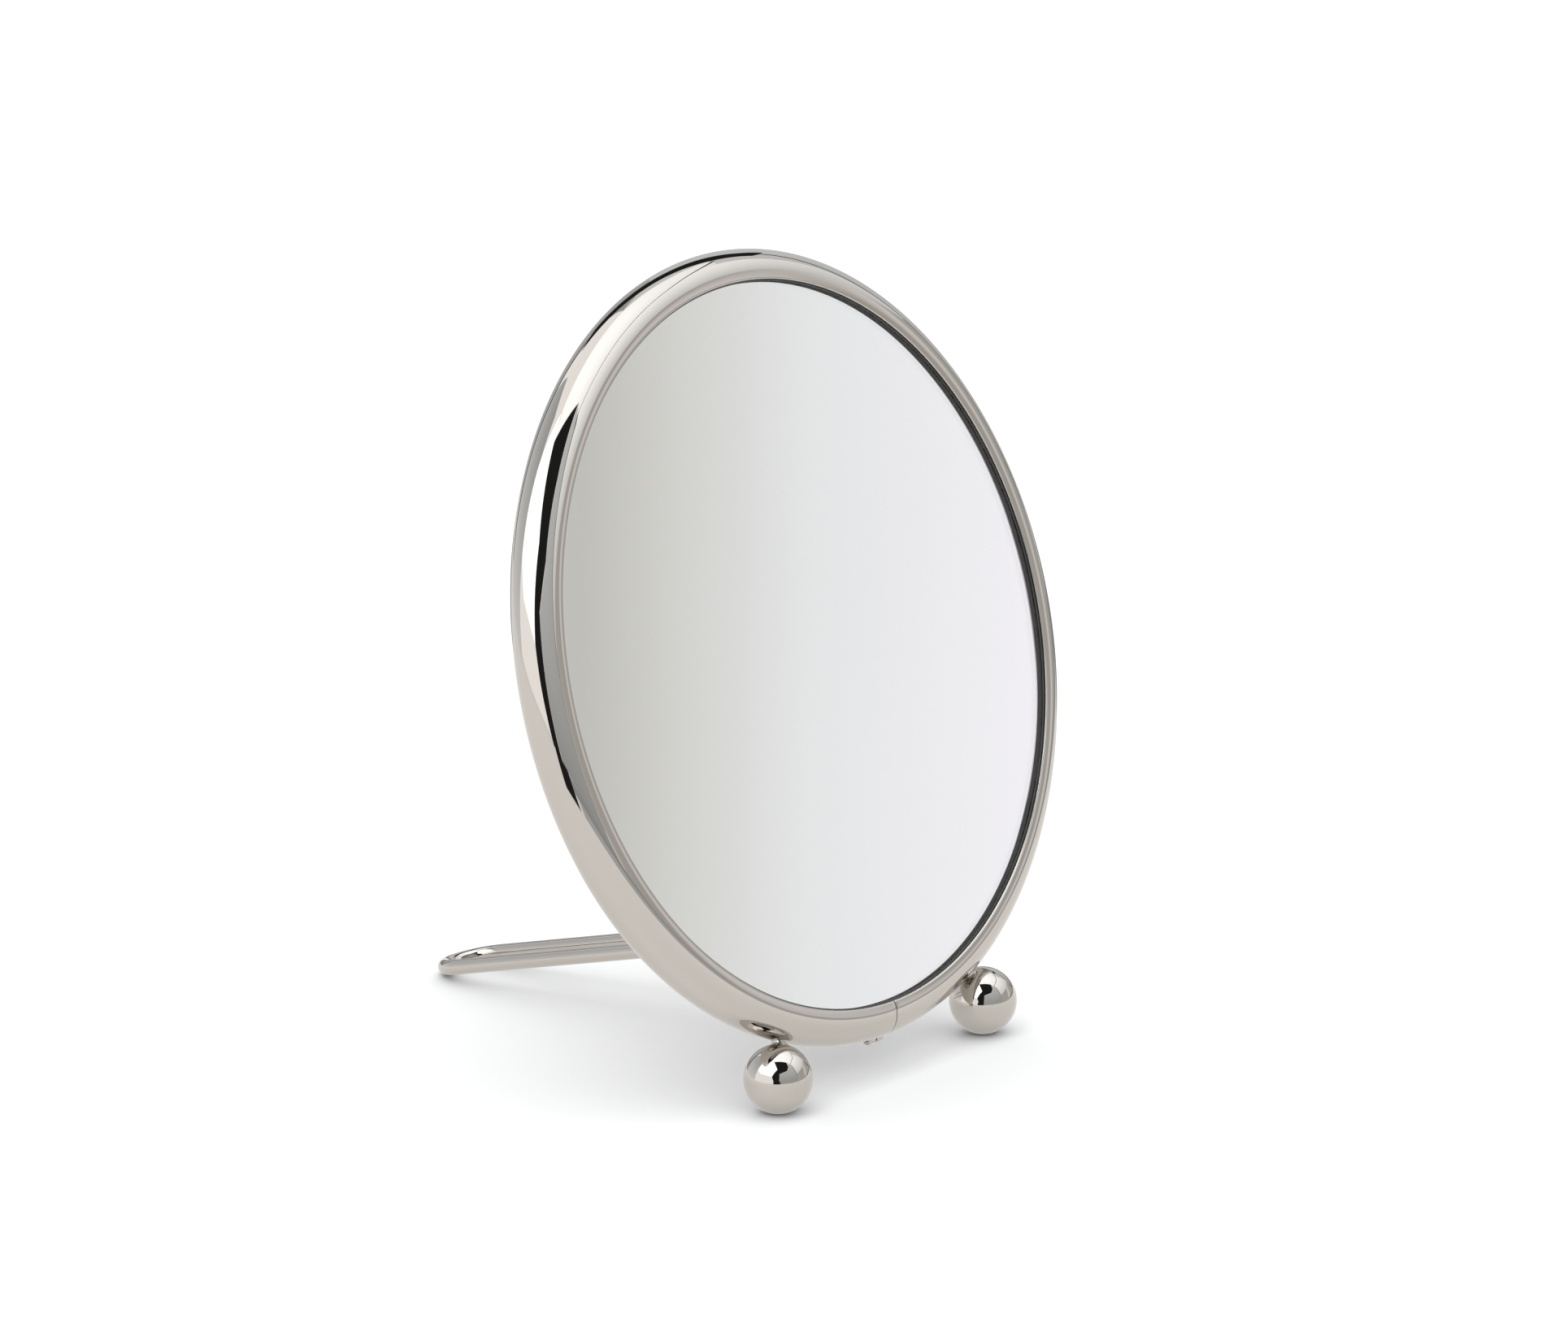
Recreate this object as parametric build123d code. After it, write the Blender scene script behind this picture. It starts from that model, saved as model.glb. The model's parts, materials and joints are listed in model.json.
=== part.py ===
"""Countertop mirror on two ball feet, with a U-shaped rod prop hinged behind it.

The prop stands out from the back against a stop pin, which takes the mirror's weight. Lifted
off the table, the prop swings down past the feet and becomes the handle of a hand mirror.

Row frame: origin on the table, at the middle of the footprint that runs from the fronts
of the balls to the tip of the prop; +X to the right as seen from the front, +Y to the
back, +Z up. Millimetres throughout.

Most pieces are drawn in the head frame: origin at the ring's centre, X to the right,
V up in the plane of the mirror, and W out of the mirror's face towards the viewer.
"""

from build123d import *
import math
import os

# ---------------------------------------------------------------- driving dimensions
RING_OUTER_DIAMETER = 240.0
LEAN_DEG = 16.0  # the mirror leans back this much from upright

# ring: round tube with a slot along its inner side
TUBE_DIAMETER = 16.0
TUBE_WALL = 0.8
LIP_ANGLE_DEG = 107.0  # from straight outward to each edge of the slot
LIP_ROUNDING = 0.35
SPLIT_GAP = 0.3  # hairline butt joint at the bottom of the ring

# mirror pack, from the front: gasket lip, glass, silvering, pad, back plate, retainer
GLASS_FRONT_W = 6.6
GLASS_THICKNESS = 2.0
GLASS_RADIUS = 112.2
GLASS_EDGE_ROUNDING = 0.3
SILVER_THICKNESS = 0.1
PAD_THICKNESS = 4.0
PAD_RADIUS = 111.6
PLATE_THICKNESS = 1.5
PLATE_RADIUS = 112.2
GASKET_BAND = 0.9
GASKET_LIP_RADIUS = 109.2
GASKET_LIP_THICKNESS = 0.2
RETAINER_INNER_RADIUS = 109.2
RETAINER_OUTER_RADIUS = 112.6
RETAINER_BACK_W = -6.7

# ball feet
BALL_DIAMETER = 20.8
BALL_ANGLE_DEG = 22.6  # either side of the ring's bottom
BALL_FLAT_DIAMETER = 5.0
BALL_GAP = 0.5  # between tube and ball, filled by the stud's shoulder
STUD_DIAMETER = 4.0
STUD_SHOULDER_DIAMETER = 5.2
STUD_SHOULDER_SUNK = 1.2  # how far the shoulder runs on at each end, before it is cut to fit
STUD_DEPTH_IN_BALL = 8.0
STUD_HOLE_SPARE = 0.5  # the ball's blind hole is this much deeper than the stud
FOOT_NUT_ACROSS_FLATS = 7.0
FOOT_NUT_THICKNESS = 2.6
SADDLE_DIAMETER = 9.0
SADDLE_HEIGHT = 1.6  # from the crown of the tube's bore to the flat seat of the nut

# clamp that draws the ring's ends together
LUG_RADIUS = 1.45
LUG_CENTRE_RADIUS = 120.4
LUG_W = -3.6
LUG_OUTER_END = 3.3
CLAMP_SHANK_RADIUS = 0.8
CLAMP_HEAD_RADIUS = 1.0
CLAMP_HEAD_LENGTH = 1.2
CLAMP_HEAD_RECESS = 0.1
CLAMP_SOCKET_FLATS = 1.1
CLAMP_SOCKET_DEPTH = 0.8
CLAMP_HOLE_WALL = 0.4  # left solid at the outer end of the right lug
CLAMP_SHANK_SHORT = 0.6  # the shank ends this far inside the right lug
SPIGOT_SPAN_DEG = 10.0
SPIGOT_INNER_RADIUS = 113.9

# prop and its hinge
PIVOT_V = -85.6
PIVOT_W = -11.0
PROP_LENGTH = 155.2  # pivot axis to the centre line of the end bend
PROP_ROD_DIAMETER = 4.8
PROP_LEG_SPACING = 21.6
BARREL_DIAMETER = 9.0
BARREL_HALF_LENGTH = 13.5
PIVOT_DIAMETER = 4.0
WASHER_DIAMETER = 8.4
WASHER_THICKNESS = 0.8
EAR_THICKNESS = 1.5
EAR_RADIUS = 5.6
STOP_PIN_DIAMETER = 3.0
STOP_PIN_REACH = 10.0  # from the pivot axis to the pin, along the legs
STOP_PIN_GAP = 0.02
STOP_EAR_RADIUS = 3.6
STOP_HEAD_DIAMETER = 4.4
STOP_HEAD_HEIGHT = 0.7
BRACKET_WIDTH = 52.0
BRACKET_HEIGHT = 18.0
BRACKET_THICKNESS = 1.5
BRACKET_CORNER_RADIUS = 4.0
RIVET_X = 20.8
RIVET_V = 5.4
RIVET_SHANK_DIAMETER = 3.0
RIVET_HEAD_DIAMETER = 5.4
RIVET_HEAD_HEIGHT = 1.3
RIVET_UPSET_HEIGHT = 1.0
RIVET_HOLE_CLEARANCE = 0.4  # round the upset heads, in the pad
PIVOT_HEAD_DIAMETER = 7.6
PIVOT_HEAD_HEIGHT = 2.2
PIVOT_HEAD_ROUNDING = 0.6
PIVOT_SLOT_WIDTH = 1.0
PIVOT_SLOT_DEPTH = 1.0
PIVOT_THREAD_SHOWING = 0.8
SPRING_WASHER_HEIGHT = 0.8
SPRING_WASHER_SHEET = 0.5
PIVOT_NUT_ACROSS_FLATS = 7.0
PIVOT_NUT_THICKNESS = 2.4

RUNNING_CLEARANCE = 0.05  # radial, between the prop's barrel and its pivot
SIDE_CLEARANCE = 0.05  # along the pivot, between pieces that turn on each other
CUT_THROUGH = 1.0  # how far a cutting shape runs past the face it opens

# ---------------------------------------------------------------- worked-out dimensions
TUBE_RADIUS = TUBE_DIAMETER / 2
BORE_RADIUS = TUBE_RADIUS - TUBE_WALL
RING_RADIUS = RING_OUTER_DIAMETER / 2 - TUBE_RADIUS  # to the tube's centre line
BALL_RADIUS = BALL_DIAMETER / 2
BALL_DISTANCE = RING_RADIUS + TUBE_RADIUS + BALL_GAP + BALL_RADIUS
NUT_SEAT_RADIUS = RING_RADIUS + BORE_RADIUS - SADDLE_HEIGHT
FLAT_DROP = math.sqrt(BALL_RADIUS**2 - (BALL_FLAT_DIAMETER / 2) ** 2)

LEAN = math.radians(LEAN_DEG)
BALL_DROP = BALL_DISTANCE * math.cos(math.radians(BALL_ANGLE_DEG))
RING_CENTRE_Z = BALL_DROP * math.cos(LEAN) + FLAT_DROP
RING_CENTRE_BEHIND_FEET = BALL_DROP * math.sin(LEAN)

ROD_RADIUS = PROP_ROD_DIAMETER / 2
PIVOT_Z = RING_CENTRE_Z + PIVOT_V * math.cos(LEAN) + PIVOT_W * math.sin(LEAN)
PIVOT_BEHIND_FEET = RING_CENTRE_BEHIND_FEET + PIVOT_V * math.sin(LEAN) - PIVOT_W * math.cos(LEAN)
PROP_FALL = math.asin((PIVOT_Z - ROD_RADIUS) / PROP_LENGTH)  # the prop's slope down to the table
PROP_RISE_FROM_SQUARE = LEAN - PROP_FALL  # the standing prop is a little past square to the back
TIP_BEHIND_FEET = PIVOT_BEHIND_FEET + PROP_LENGTH * math.cos(PROP_FALL) + ROD_RADIUS

FOOT_LINE_Y = -(TIP_BEHIND_FEET - BALL_RADIUS) / 2  # puts the origin mid-footprint
RING_CENTRE_Y = FOOT_LINE_Y + RING_CENTRE_BEHIND_FEET
PIVOT_Y = FOOT_LINE_Y + PIVOT_BEHIND_FEET

SILVER_FRONT_W = GLASS_FRONT_W - GLASS_THICKNESS
PAD_FRONT_W = SILVER_FRONT_W - SILVER_THICKNESS
PLATE_FRONT_W = PAD_FRONT_W - PAD_THICKNESS
PLATE_BACK_W = PLATE_FRONT_W - PLATE_THICKNESS

WASHER_OUTER_X = BARREL_HALF_LENGTH + SIDE_CLEARANCE + WASHER_THICKNESS
EAR_INNER_X = WASHER_OUTER_X + SIDE_CLEARANCE
EAR_OUTER_X = EAR_INNER_X + EAR_THICKNESS

STOP_PIN_RADIUS = STOP_PIN_DIAMETER / 2
STOP_PIN_OFFSET = ROD_RADIUS + STOP_PIN_RADIUS + STOP_PIN_GAP  # from the legs' centre lines
STOP_PIN_V = (
    PIVOT_V
    + STOP_PIN_REACH * math.sin(PROP_RISE_FROM_SQUARE)
    + STOP_PIN_OFFSET * math.cos(PROP_RISE_FROM_SQUARE)
)
STOP_PIN_W = (
    PIVOT_W
    - STOP_PIN_REACH * math.cos(PROP_RISE_FROM_SQUARE)
    + STOP_PIN_OFFSET * math.sin(PROP_RISE_FROM_SQUARE)
)

HEAD = Plane(
    origin=(0, RING_CENTRE_Y, RING_CENTRE_Z),
    x_dir=(1, 0, 0),
    z_dir=(0, -math.cos(LEAN), math.sin(LEAN)),
)


# ---------------------------------------------------------------- helpers
def in_head(shape):
    """A shape drawn in the head frame, placed in the row frame."""
    return HEAD.location * shape


def disc(radius, front_w, back_w):
    """Round plate between two levels of W."""
    return Pos(0, 0, (front_w + back_w) / 2) * Cylinder(radius, abs(front_w - back_w))


def rod_x(radius, x_from, x_to, v=0.0, w=0.0):
    """Round bar along X in the head frame."""
    bar = Rot(0, 90, 0) * Cylinder(radius, x_to - x_from)
    return Pos((x_from + x_to) / 2, v, w) * bar


def hexagon(across_flats):
    """Flat hexagon for a nut or a socket."""
    return RegularPolygon(across_flats / math.sqrt(3), 6)


def radial(angle_deg):
    """Frame on the ring's centre whose Z points outward, angle_deg to the right of straight down."""
    angle = math.radians(angle_deg)
    outward = (math.sin(angle), -math.cos(angle), 0)
    return Plane(origin=(0, 0, 0), x_dir=(0, 0, 1), z_dir=outward).location


def solid_torus(tube_radius):
    return Torus(RING_RADIUS, tube_radius)


def revolved(face, start_deg, sweep_deg):
    """Section in the X-W plane turned about the ring's axis, from start_deg, measured from +X."""
    turned = revolve(Plane.XZ * face, axis=Axis.Z, revolution_arc=sweep_deg)
    return Rot(0, 0, start_deg) * turned


def rectangle_section(inner, outer, front_w, back_w):
    centre = ((inner + outer) / 2, (front_w + back_w) / 2)
    return Pos(*centre) * Rectangle(outer - inner, abs(front_w - back_w))


# ---------------------------------------------------------------- ring and its clamp
def slotted_tube_section():
    """C-shaped section: a round tube with its inward side left open for the mirror."""
    centre = (RING_RADIUS, 0)
    edge = math.radians(LIP_ANGLE_DEG)
    outer = CenterArc(centre, TUBE_RADIUS, -LIP_ANGLE_DEG, 2 * LIP_ANGLE_DEG)
    inner = CenterArc(centre, BORE_RADIUS, -LIP_ANGLE_DEG, 2 * LIP_ANGLE_DEG)
    middle = Vector(*centre)
    ends = []
    for side in (1, -1):
        direction = Vector(math.cos(edge), side * math.sin(edge))
        ends.append(Line(middle + direction * BORE_RADIUS, middle + direction * TUBE_RADIUS))
    section = make_face([outer, inner] + ends)
    return fillet(section.vertices(), LIP_ROUNDING)


def frame_ring():
    gap_deg = math.degrees(SPLIT_GAP / RING_RADIUS)
    ring = revolved(slotted_tube_section(), -90 + gap_deg / 2, 360 - gap_deg)
    hole = Cylinder(STUD_DIAMETER / 2 + RUNNING_CLEARANCE, 4 * TUBE_WALL)
    hole = Pos(0, 0, RING_RADIUS + BORE_RADIUS) * hole
    return ring - [radial(side * BALL_ANGLE_DEG) * hole for side in (-1, 1)]


def joint_spigot():
    """Curved key inside the tube that lines up the two ends of the ring."""
    section = Pos(RING_RADIUS, 0) * Circle(BORE_RADIUS - RUNNING_CLEARANCE)
    keep = rectangle_section(SPIGOT_INNER_RADIUS, RING_RADIUS + TUBE_RADIUS, TUBE_RADIUS, -TUBE_RADIUS)
    return revolved(section & keep, -90 - SPIGOT_SPAN_DEG / 2, SPIGOT_SPAN_DEG)


def clamp_rod(radius, x_from, x_to):
    """Round bar on the clamp screw's axis."""
    return rod_x(radius, x_from, x_to, -LUG_CENTRE_RADIUS, LUG_W)


def clamp_lug(side):
    """Small round lug brazed under the tube, left (-1) or right (+1) of the split."""
    ends = sorted((side * SPLIT_GAP, side * LUG_OUTER_END))
    lug = clamp_rod(LUG_RADIUS, *ends) - solid_torus(TUBE_RADIUS)
    if side > 0:
        return lug - clamp_rod(CLAMP_SHANK_RADIUS, 0, LUG_OUTER_END - CLAMP_HOLE_WALL)
    head_floor = -LUG_OUTER_END + CLAMP_HEAD_RECESS + CLAMP_HEAD_LENGTH
    lug -= clamp_rod(CLAMP_HEAD_RADIUS + RUNNING_CLEARANCE, -LUG_OUTER_END, head_floor)
    return lug - clamp_rod(CLAMP_SHANK_RADIUS + RUNNING_CLEARANCE, head_floor, 0)


def clamp_screw():
    """Socket screw through the left lug, threaded into the right one."""
    head_start = -LUG_OUTER_END + CLAMP_HEAD_RECESS
    head_end = head_start + CLAMP_HEAD_LENGTH
    screw = clamp_rod(CLAMP_HEAD_RADIUS, head_start, head_end)
    screw += clamp_rod(CLAMP_SHANK_RADIUS, head_end, LUG_OUTER_END - CLAMP_SHANK_SHORT)
    socket = extrude(hexagon(CLAMP_SOCKET_FLATS), CLAMP_SOCKET_DEPTH)
    return screw - Pos(head_start, -LUG_CENTRE_RADIUS, LUG_W) * Rot(0, 90, 0) * socket


# ---------------------------------------------------------------- mirror pack
def mirror_glass():
    glass = disc(GLASS_RADIUS, GLASS_FRONT_W, SILVER_FRONT_W)
    return fillet(glass.edges().filter_by(GeomType.CIRCLE), GLASS_EDGE_ROUNDING)


def silver_layer():
    return disc(GLASS_RADIUS - GLASS_EDGE_ROUNDING, SILVER_FRONT_W, PAD_FRONT_W)


def rivet_places():
    return [(x, PIVOT_V + v) for x in (-RIVET_X, RIVET_X) for v in (-RIVET_V, RIVET_V)]


def backing_pad():
    """Felt disc between glass and plate, with clearance holes for the rivets' inner heads."""
    pad = disc(PAD_RADIUS, PAD_FRONT_W, PLATE_FRONT_W)
    hole = Cylinder(RIVET_HEAD_DIAMETER / 2 + RIVET_HOLE_CLEARANCE, 2 * PAD_THICKNESS)
    for x, v in rivet_places():
        pad -= Pos(x, v, (PAD_FRONT_W + PLATE_FRONT_W) / 2) * hole
    return pad


def back_plate():
    plate = disc(PLATE_RADIUS, PLATE_FRONT_W, PLATE_BACK_W)
    for x, v in rivet_places():
        plate -= Pos(x, v, PLATE_FRONT_W) * Cylinder(RIVET_SHANK_DIAMETER / 2, 4 * PLATE_THICKNESS)
    return plate


def edge_gasket():
    """Black rubber edging: a band round the pack with a thin lip over the front of the glass."""
    lip_front = GLASS_FRONT_W + GASKET_LIP_THICKNESS
    band = rectangle_section(GLASS_RADIUS, GLASS_RADIUS + GASKET_BAND, lip_front, PLATE_BACK_W)
    lip = rectangle_section(GASKET_LIP_RADIUS, GLASS_RADIUS + GASKET_BAND, lip_front, GLASS_FRONT_W)
    return revolved(band + lip, -90, 360)


def retaining_ring():
    """Rubber ring that presses the pack forward against the front lip of the tube."""
    section = rectangle_section(
        RETAINER_INNER_RADIUS, RETAINER_OUTER_RADIUS, PLATE_BACK_W, RETAINER_BACK_W
    )
    return revolved(section, -90, 360)


# ---------------------------------------------------------------- ball feet
def ball_foot(side):
    """Solid ball with a blind hole for its stud and a small turned flat on the table side."""
    frame = radial(side * BALL_ANGLE_DEG)
    ball = frame * Pos(0, 0, BALL_DISTANCE) * Sphere(BALL_RADIUS)
    hole_depth = STUD_DEPTH_IN_BALL + STUD_HOLE_SPARE
    hole_centre = BALL_DISTANCE - BALL_RADIUS + (hole_depth - CUT_THROUGH) / 2
    ball -= frame * Pos(0, 0, hole_centre) * Cylinder(STUD_DIAMETER / 2, hole_depth + CUT_THROUGH)
    ball = in_head(ball)
    below_table = Pos(0, 0, -BALL_RADIUS) * Box(4 * BALL_DISTANCE, 4 * BALL_DISTANCE, 2 * BALL_RADIUS)
    return ball - below_table


def foot_stud(side):
    """Threaded stud from inside the tube into the ball, with a shoulder between the two."""
    frame = radial(side * BALL_ANGLE_DEG)
    start = NUT_SEAT_RADIUS - FOOT_NUT_THICKNESS
    end = BALL_DISTANCE - BALL_RADIUS + STUD_DEPTH_IN_BALL
    stud = frame * Pos(0, 0, (start + end) / 2) * Cylinder(STUD_DIAMETER / 2, end - start)
    shoulder = Cylinder(STUD_SHOULDER_DIAMETER / 2, BALL_GAP + 2 * STUD_SHOULDER_SUNK)
    shoulder = frame * Pos(0, 0, RING_RADIUS + TUBE_RADIUS + BALL_GAP / 2) * shoulder
    shoulder -= solid_torus(TUBE_RADIUS)
    shoulder -= frame * Pos(0, 0, BALL_DISTANCE) * Sphere(BALL_RADIUS)
    return stud + shoulder


def saddle_washer(side):
    """Curved washer that seats the flat nut against the round bore of the tube."""
    frame = radial(side * BALL_ANGLE_DEG)
    blank = Cylinder(SADDLE_DIAMETER / 2, 2 * SADDLE_HEIGHT)
    blank = frame * Pos(0, 0, NUT_SEAT_RADIUS + SADDLE_HEIGHT) * blank
    hole = frame * Pos(0, 0, NUT_SEAT_RADIUS) * Cylinder(STUD_DIAMETER / 2, 8 * SADDLE_HEIGHT)
    return (blank & solid_torus(BORE_RADIUS)) - hole


def foot_nut(side):
    frame = radial(side * BALL_ANGLE_DEG)
    blank = extrude(hexagon(FOOT_NUT_ACROSS_FLATS), FOOT_NUT_THICKNESS)
    nut = blank - Cylinder(STUD_DIAMETER / 2, 4 * FOOT_NUT_THICKNESS)
    return frame * Pos(0, 0, NUT_SEAT_RADIUS - FOOT_NUT_THICKNESS) * nut


# ---------------------------------------------------------------- hinge on the back plate
def ear_profile():
    """One ear of the bracket: X runs up the mirror and Y into it, from the pivot's centre."""
    rise = PLATE_BACK_W - BRACKET_THICKNESS - PIVOT_W
    stop = Pos(STOP_PIN_V - PIVOT_V, STOP_PIN_W - PIVOT_W)
    outline = Curve() + [
        Line((-EAR_RADIUS, rise), (EAR_RADIUS, rise)),
        CenterArc((0, 0), EAR_RADIUS, 0, 360),
        stop * CenterArc((0, 0), STOP_EAR_RADIUS, 0, 360),
    ]
    pivot_hole = Circle(PIVOT_DIAMETER / 2 + RUNNING_CLEARANCE)
    return make_hull(outline.edges()) - pivot_hole - stop * Circle(STOP_PIN_RADIUS)


def hinge_bracket():
    """Folded sheet bracket: a riveted base with two ears that carry the pivot and the stop pin."""
    base_w = PLATE_BACK_W - BRACKET_THICKNESS
    outline = RectangleRounded(BRACKET_WIDTH, BRACKET_HEIGHT, BRACKET_CORNER_RADIUS)
    bracket = Pos(0, PIVOT_V, base_w) * extrude(outline, BRACKET_THICKNESS)
    for ear_start in (-EAR_OUTER_X, EAR_INNER_X):
        ear_plane = Plane(
            origin=(ear_start, PIVOT_V, PIVOT_W),
            x_dir=(0, 1, 0),
            z_dir=(1, 0, 0),
        )
        bracket += ear_plane * extrude(ear_profile(), EAR_THICKNESS)
    for x, v in rivet_places():
        bracket -= Pos(x, v, base_w) * Cylinder(RIVET_SHANK_DIAMETER / 2, 4 * BRACKET_THICKNESS)
    return bracket


def stop_pin():
    """Pin across the two ears that the standing prop's legs press up against."""
    pin = rod_x(STOP_PIN_RADIUS, -EAR_OUTER_X, EAR_OUTER_X, STOP_PIN_V, STOP_PIN_W)
    for side in (-1, 1):
        ends = sorted((side * EAR_OUTER_X, side * (EAR_OUTER_X + STOP_HEAD_HEIGHT)))
        pin += rod_x(STOP_HEAD_DIAMETER / 2, *ends, STOP_PIN_V, STOP_PIN_W)
    return pin


def bracket_rivet(x, v):
    """Rivet with a domed outer head and a flat upset head inside the pad."""
    base_w = PLATE_BACK_W - BRACKET_THICKNESS
    rivet = Cylinder(RIVET_SHANK_DIAMETER / 2, PLATE_FRONT_W - base_w)
    rivet = Pos(0, 0, (PLATE_FRONT_W + base_w) / 2) * rivet
    rivet += disc(RIVET_HEAD_DIAMETER / 2, PLATE_FRONT_W + RIVET_UPSET_HEIGHT, PLATE_FRONT_W)
    dome_radius = ((RIVET_HEAD_DIAMETER / 2) ** 2 + RIVET_HEAD_HEIGHT**2) / (2 * RIVET_HEAD_HEIGHT)
    dome = Pos(0, 0, base_w - RIVET_HEAD_HEIGHT + dome_radius) * Sphere(dome_radius)
    rivet += dome & disc(RIVET_HEAD_DIAMETER, base_w, base_w - 2 * RIVET_HEAD_HEIGHT)
    return Pos(x, v, 0) * rivet


def bracket_rivets():
    return [bracket_rivet(x, v) for x, v in rivet_places()]


def friction_washers():
    """Fibre washers between the turning barrel and the two ears."""
    hole_radius = PIVOT_DIAMETER / 2 + RUNNING_CLEARANCE
    washers = []
    for side in (-1, 1):
        near = BARREL_HALF_LENGTH + SIDE_CLEARANCE
        ends = sorted((side * near, side * WASHER_OUTER_X))
        washer = rod_x(WASHER_DIAMETER / 2, *ends, PIVOT_V, PIVOT_W)
        washers.append(washer - rod_x(hole_radius, *ends, PIVOT_V, PIVOT_W))
    return washers


def hinge_screw():
    """Slotted pivot screw through both ears; its head is on the left."""
    nut_end = EAR_OUTER_X + SPRING_WASHER_HEIGHT + PIVOT_NUT_THICKNESS
    screw_end = nut_end + PIVOT_THREAD_SHOWING
    screw = rod_x(PIVOT_DIAMETER / 2, -EAR_OUTER_X, screw_end, PIVOT_V, PIVOT_W)
    head_end = -EAR_OUTER_X - PIVOT_HEAD_HEIGHT
    head = rod_x(PIVOT_HEAD_DIAMETER / 2, head_end, -EAR_OUTER_X, PIVOT_V, PIVOT_W)
    rim = head.edges().filter_by(GeomType.CIRCLE).sort_by(Axis.X)[0]
    head = fillet(rim, PIVOT_HEAD_ROUNDING)
    slot = Box(2 * PIVOT_SLOT_DEPTH, 2 * PIVOT_HEAD_DIAMETER, PIVOT_SLOT_WIDTH)
    return (screw + head) - Pos(head_end, PIVOT_V, PIVOT_W) * slot


def spring_washer():
    """Dished spring washer under the nut, which sets the hinge's friction."""
    inner = PIVOT_DIAMETER / 2 + RUNNING_CLEARANCE
    outer = WASHER_DIAMETER / 2
    rise = SPRING_WASHER_HEIGHT - SPRING_WASHER_SHEET
    section = Polygon(
        (inner, rise),
        (outer, 0),
        (outer, SPRING_WASHER_SHEET),
        (inner, SPRING_WASHER_HEIGHT),
        align=None,
    )
    dished = revolve(Plane.XZ * section, axis=Axis.Z, revolution_arc=360)
    return Pos(EAR_OUTER_X, PIVOT_V, PIVOT_W) * Rot(0, 90, 0) * dished


def hinge_nut():
    blank = extrude(hexagon(PIVOT_NUT_ACROSS_FLATS), PIVOT_NUT_THICKNESS)
    nut = blank - Cylinder(PIVOT_DIAMETER / 2, 4 * PIVOT_NUT_THICKNESS)
    return Pos(EAR_OUTER_X + SPRING_WASHER_HEIGHT, PIVOT_V, PIVOT_W) * Rot(0, 90, 0) * nut


# ---------------------------------------------------------------- prop
PROP = Plane(
    origin=(0, PIVOT_Y, PIVOT_Z),
    x_dir=(1, 0, 0),
    z_dir=(0, math.sin(PROP_FALL), math.cos(PROP_FALL)),
)  # origin on the pivot axis; its Y runs along the legs to the tip


def prop_barrel():
    barrel = Rot(0, 90, 0) * Cylinder(BARREL_DIAMETER / 2, 2 * BARREL_HALF_LENGTH)
    barrel -= Rot(0, 90, 0) * Cylinder(PIVOT_DIAMETER / 2 + RUNNING_CLEARANCE, 3 * BARREL_HALF_LENGTH)
    return PROP.location * barrel


def prop_loop():
    """One round rod bent into a long U; both ends are brazed to the barrel."""
    half = PROP_LEG_SPACING / 2
    bend_start = PROP_LENGTH - half
    path = Line((-half, 0, 0), (-half, bend_start, 0))
    path += ThreePointArc((-half, bend_start, 0), (0, PROP_LENGTH, 0), (half, bend_start, 0))
    path += Line((half, bend_start, 0), (half, 0, 0))
    section = Plane(origin=(-half, 0, 0), z_dir=(0, 1, 0)) * Circle(ROD_RADIUS)
    loop = sweep(section, path=path)
    loop -= Rot(0, 90, 0) * Cylinder(BARREL_DIAMETER / 2, 2 * BARREL_HALF_LENGTH)
    return PROP.location * loop


# ---------------------------------------------------------------- nodes
def head_nodes():
    """Every piece that stays with the mirror, drawn in the head frame."""
    return {
        "frame_ring": frame_ring(),
        "joint_spigot": joint_spigot(),
        "clamp_lug_left": clamp_lug(-1),
        "clamp_lug_right": clamp_lug(1),
        "clamp_screw": clamp_screw(),
        "mirror_glass": mirror_glass(),
        "silver_layer": silver_layer(),
        "backing_pad": backing_pad(),
        "back_plate": back_plate(),
        "edge_gasket": edge_gasket(),
        "retaining_ring": retaining_ring(),
        "foot_studs": [foot_stud(-1), foot_stud(1)],
        "foot_saddle_washers": [saddle_washer(-1), saddle_washer(1)],
        "foot_nuts": [foot_nut(-1), foot_nut(1)],
        "hinge_bracket": hinge_bracket(),
        "stop_pin": stop_pin(),
        "bracket_rivets": bracket_rivets(),
        "friction_washers": friction_washers(),
        "hinge_screw": hinge_screw(),
        "spring_washer": spring_washer(),
        "hinge_nut": hinge_nut(),
    }


def placed_nodes():
    """Every node in the row frame, as a list of separate solids."""
    nodes = {}
    for name, shape in head_nodes().items():
        pieces = shape if isinstance(shape, list) else [shape]
        nodes[name] = [in_head(piece) for piece in pieces]
    nodes["ball_foot_left"] = [ball_foot(-1)]
    nodes["ball_foot_right"] = [ball_foot(1)]
    nodes["prop_barrel"] = [prop_barrel()]
    nodes["prop_loop"] = [prop_loop()]
    return nodes


def main():
    os.makedirs("parts", exist_ok=True)
    for name, pieces in placed_nodes().items():
        solids = [solid for piece in pieces for solid in piece.solids()]
        shape = solids[0] if len(solids) == 1 else Compound(children=solids)
        export_step(shape, os.path.join("parts", name + ".step"))


main()
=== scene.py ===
"""Looks of the countertop mirror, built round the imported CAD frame.

Lengths are in millimetres until Frame.at() turns them into Blender's metres. Most pieces are
drawn in the head frame: origin at the ring's centre, x to the right, v up in the plane of the
mirror, w out of its face.
"""

import json
import math

import bmesh
import bpy
from mathutils import Matrix, Vector, geometry

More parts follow.
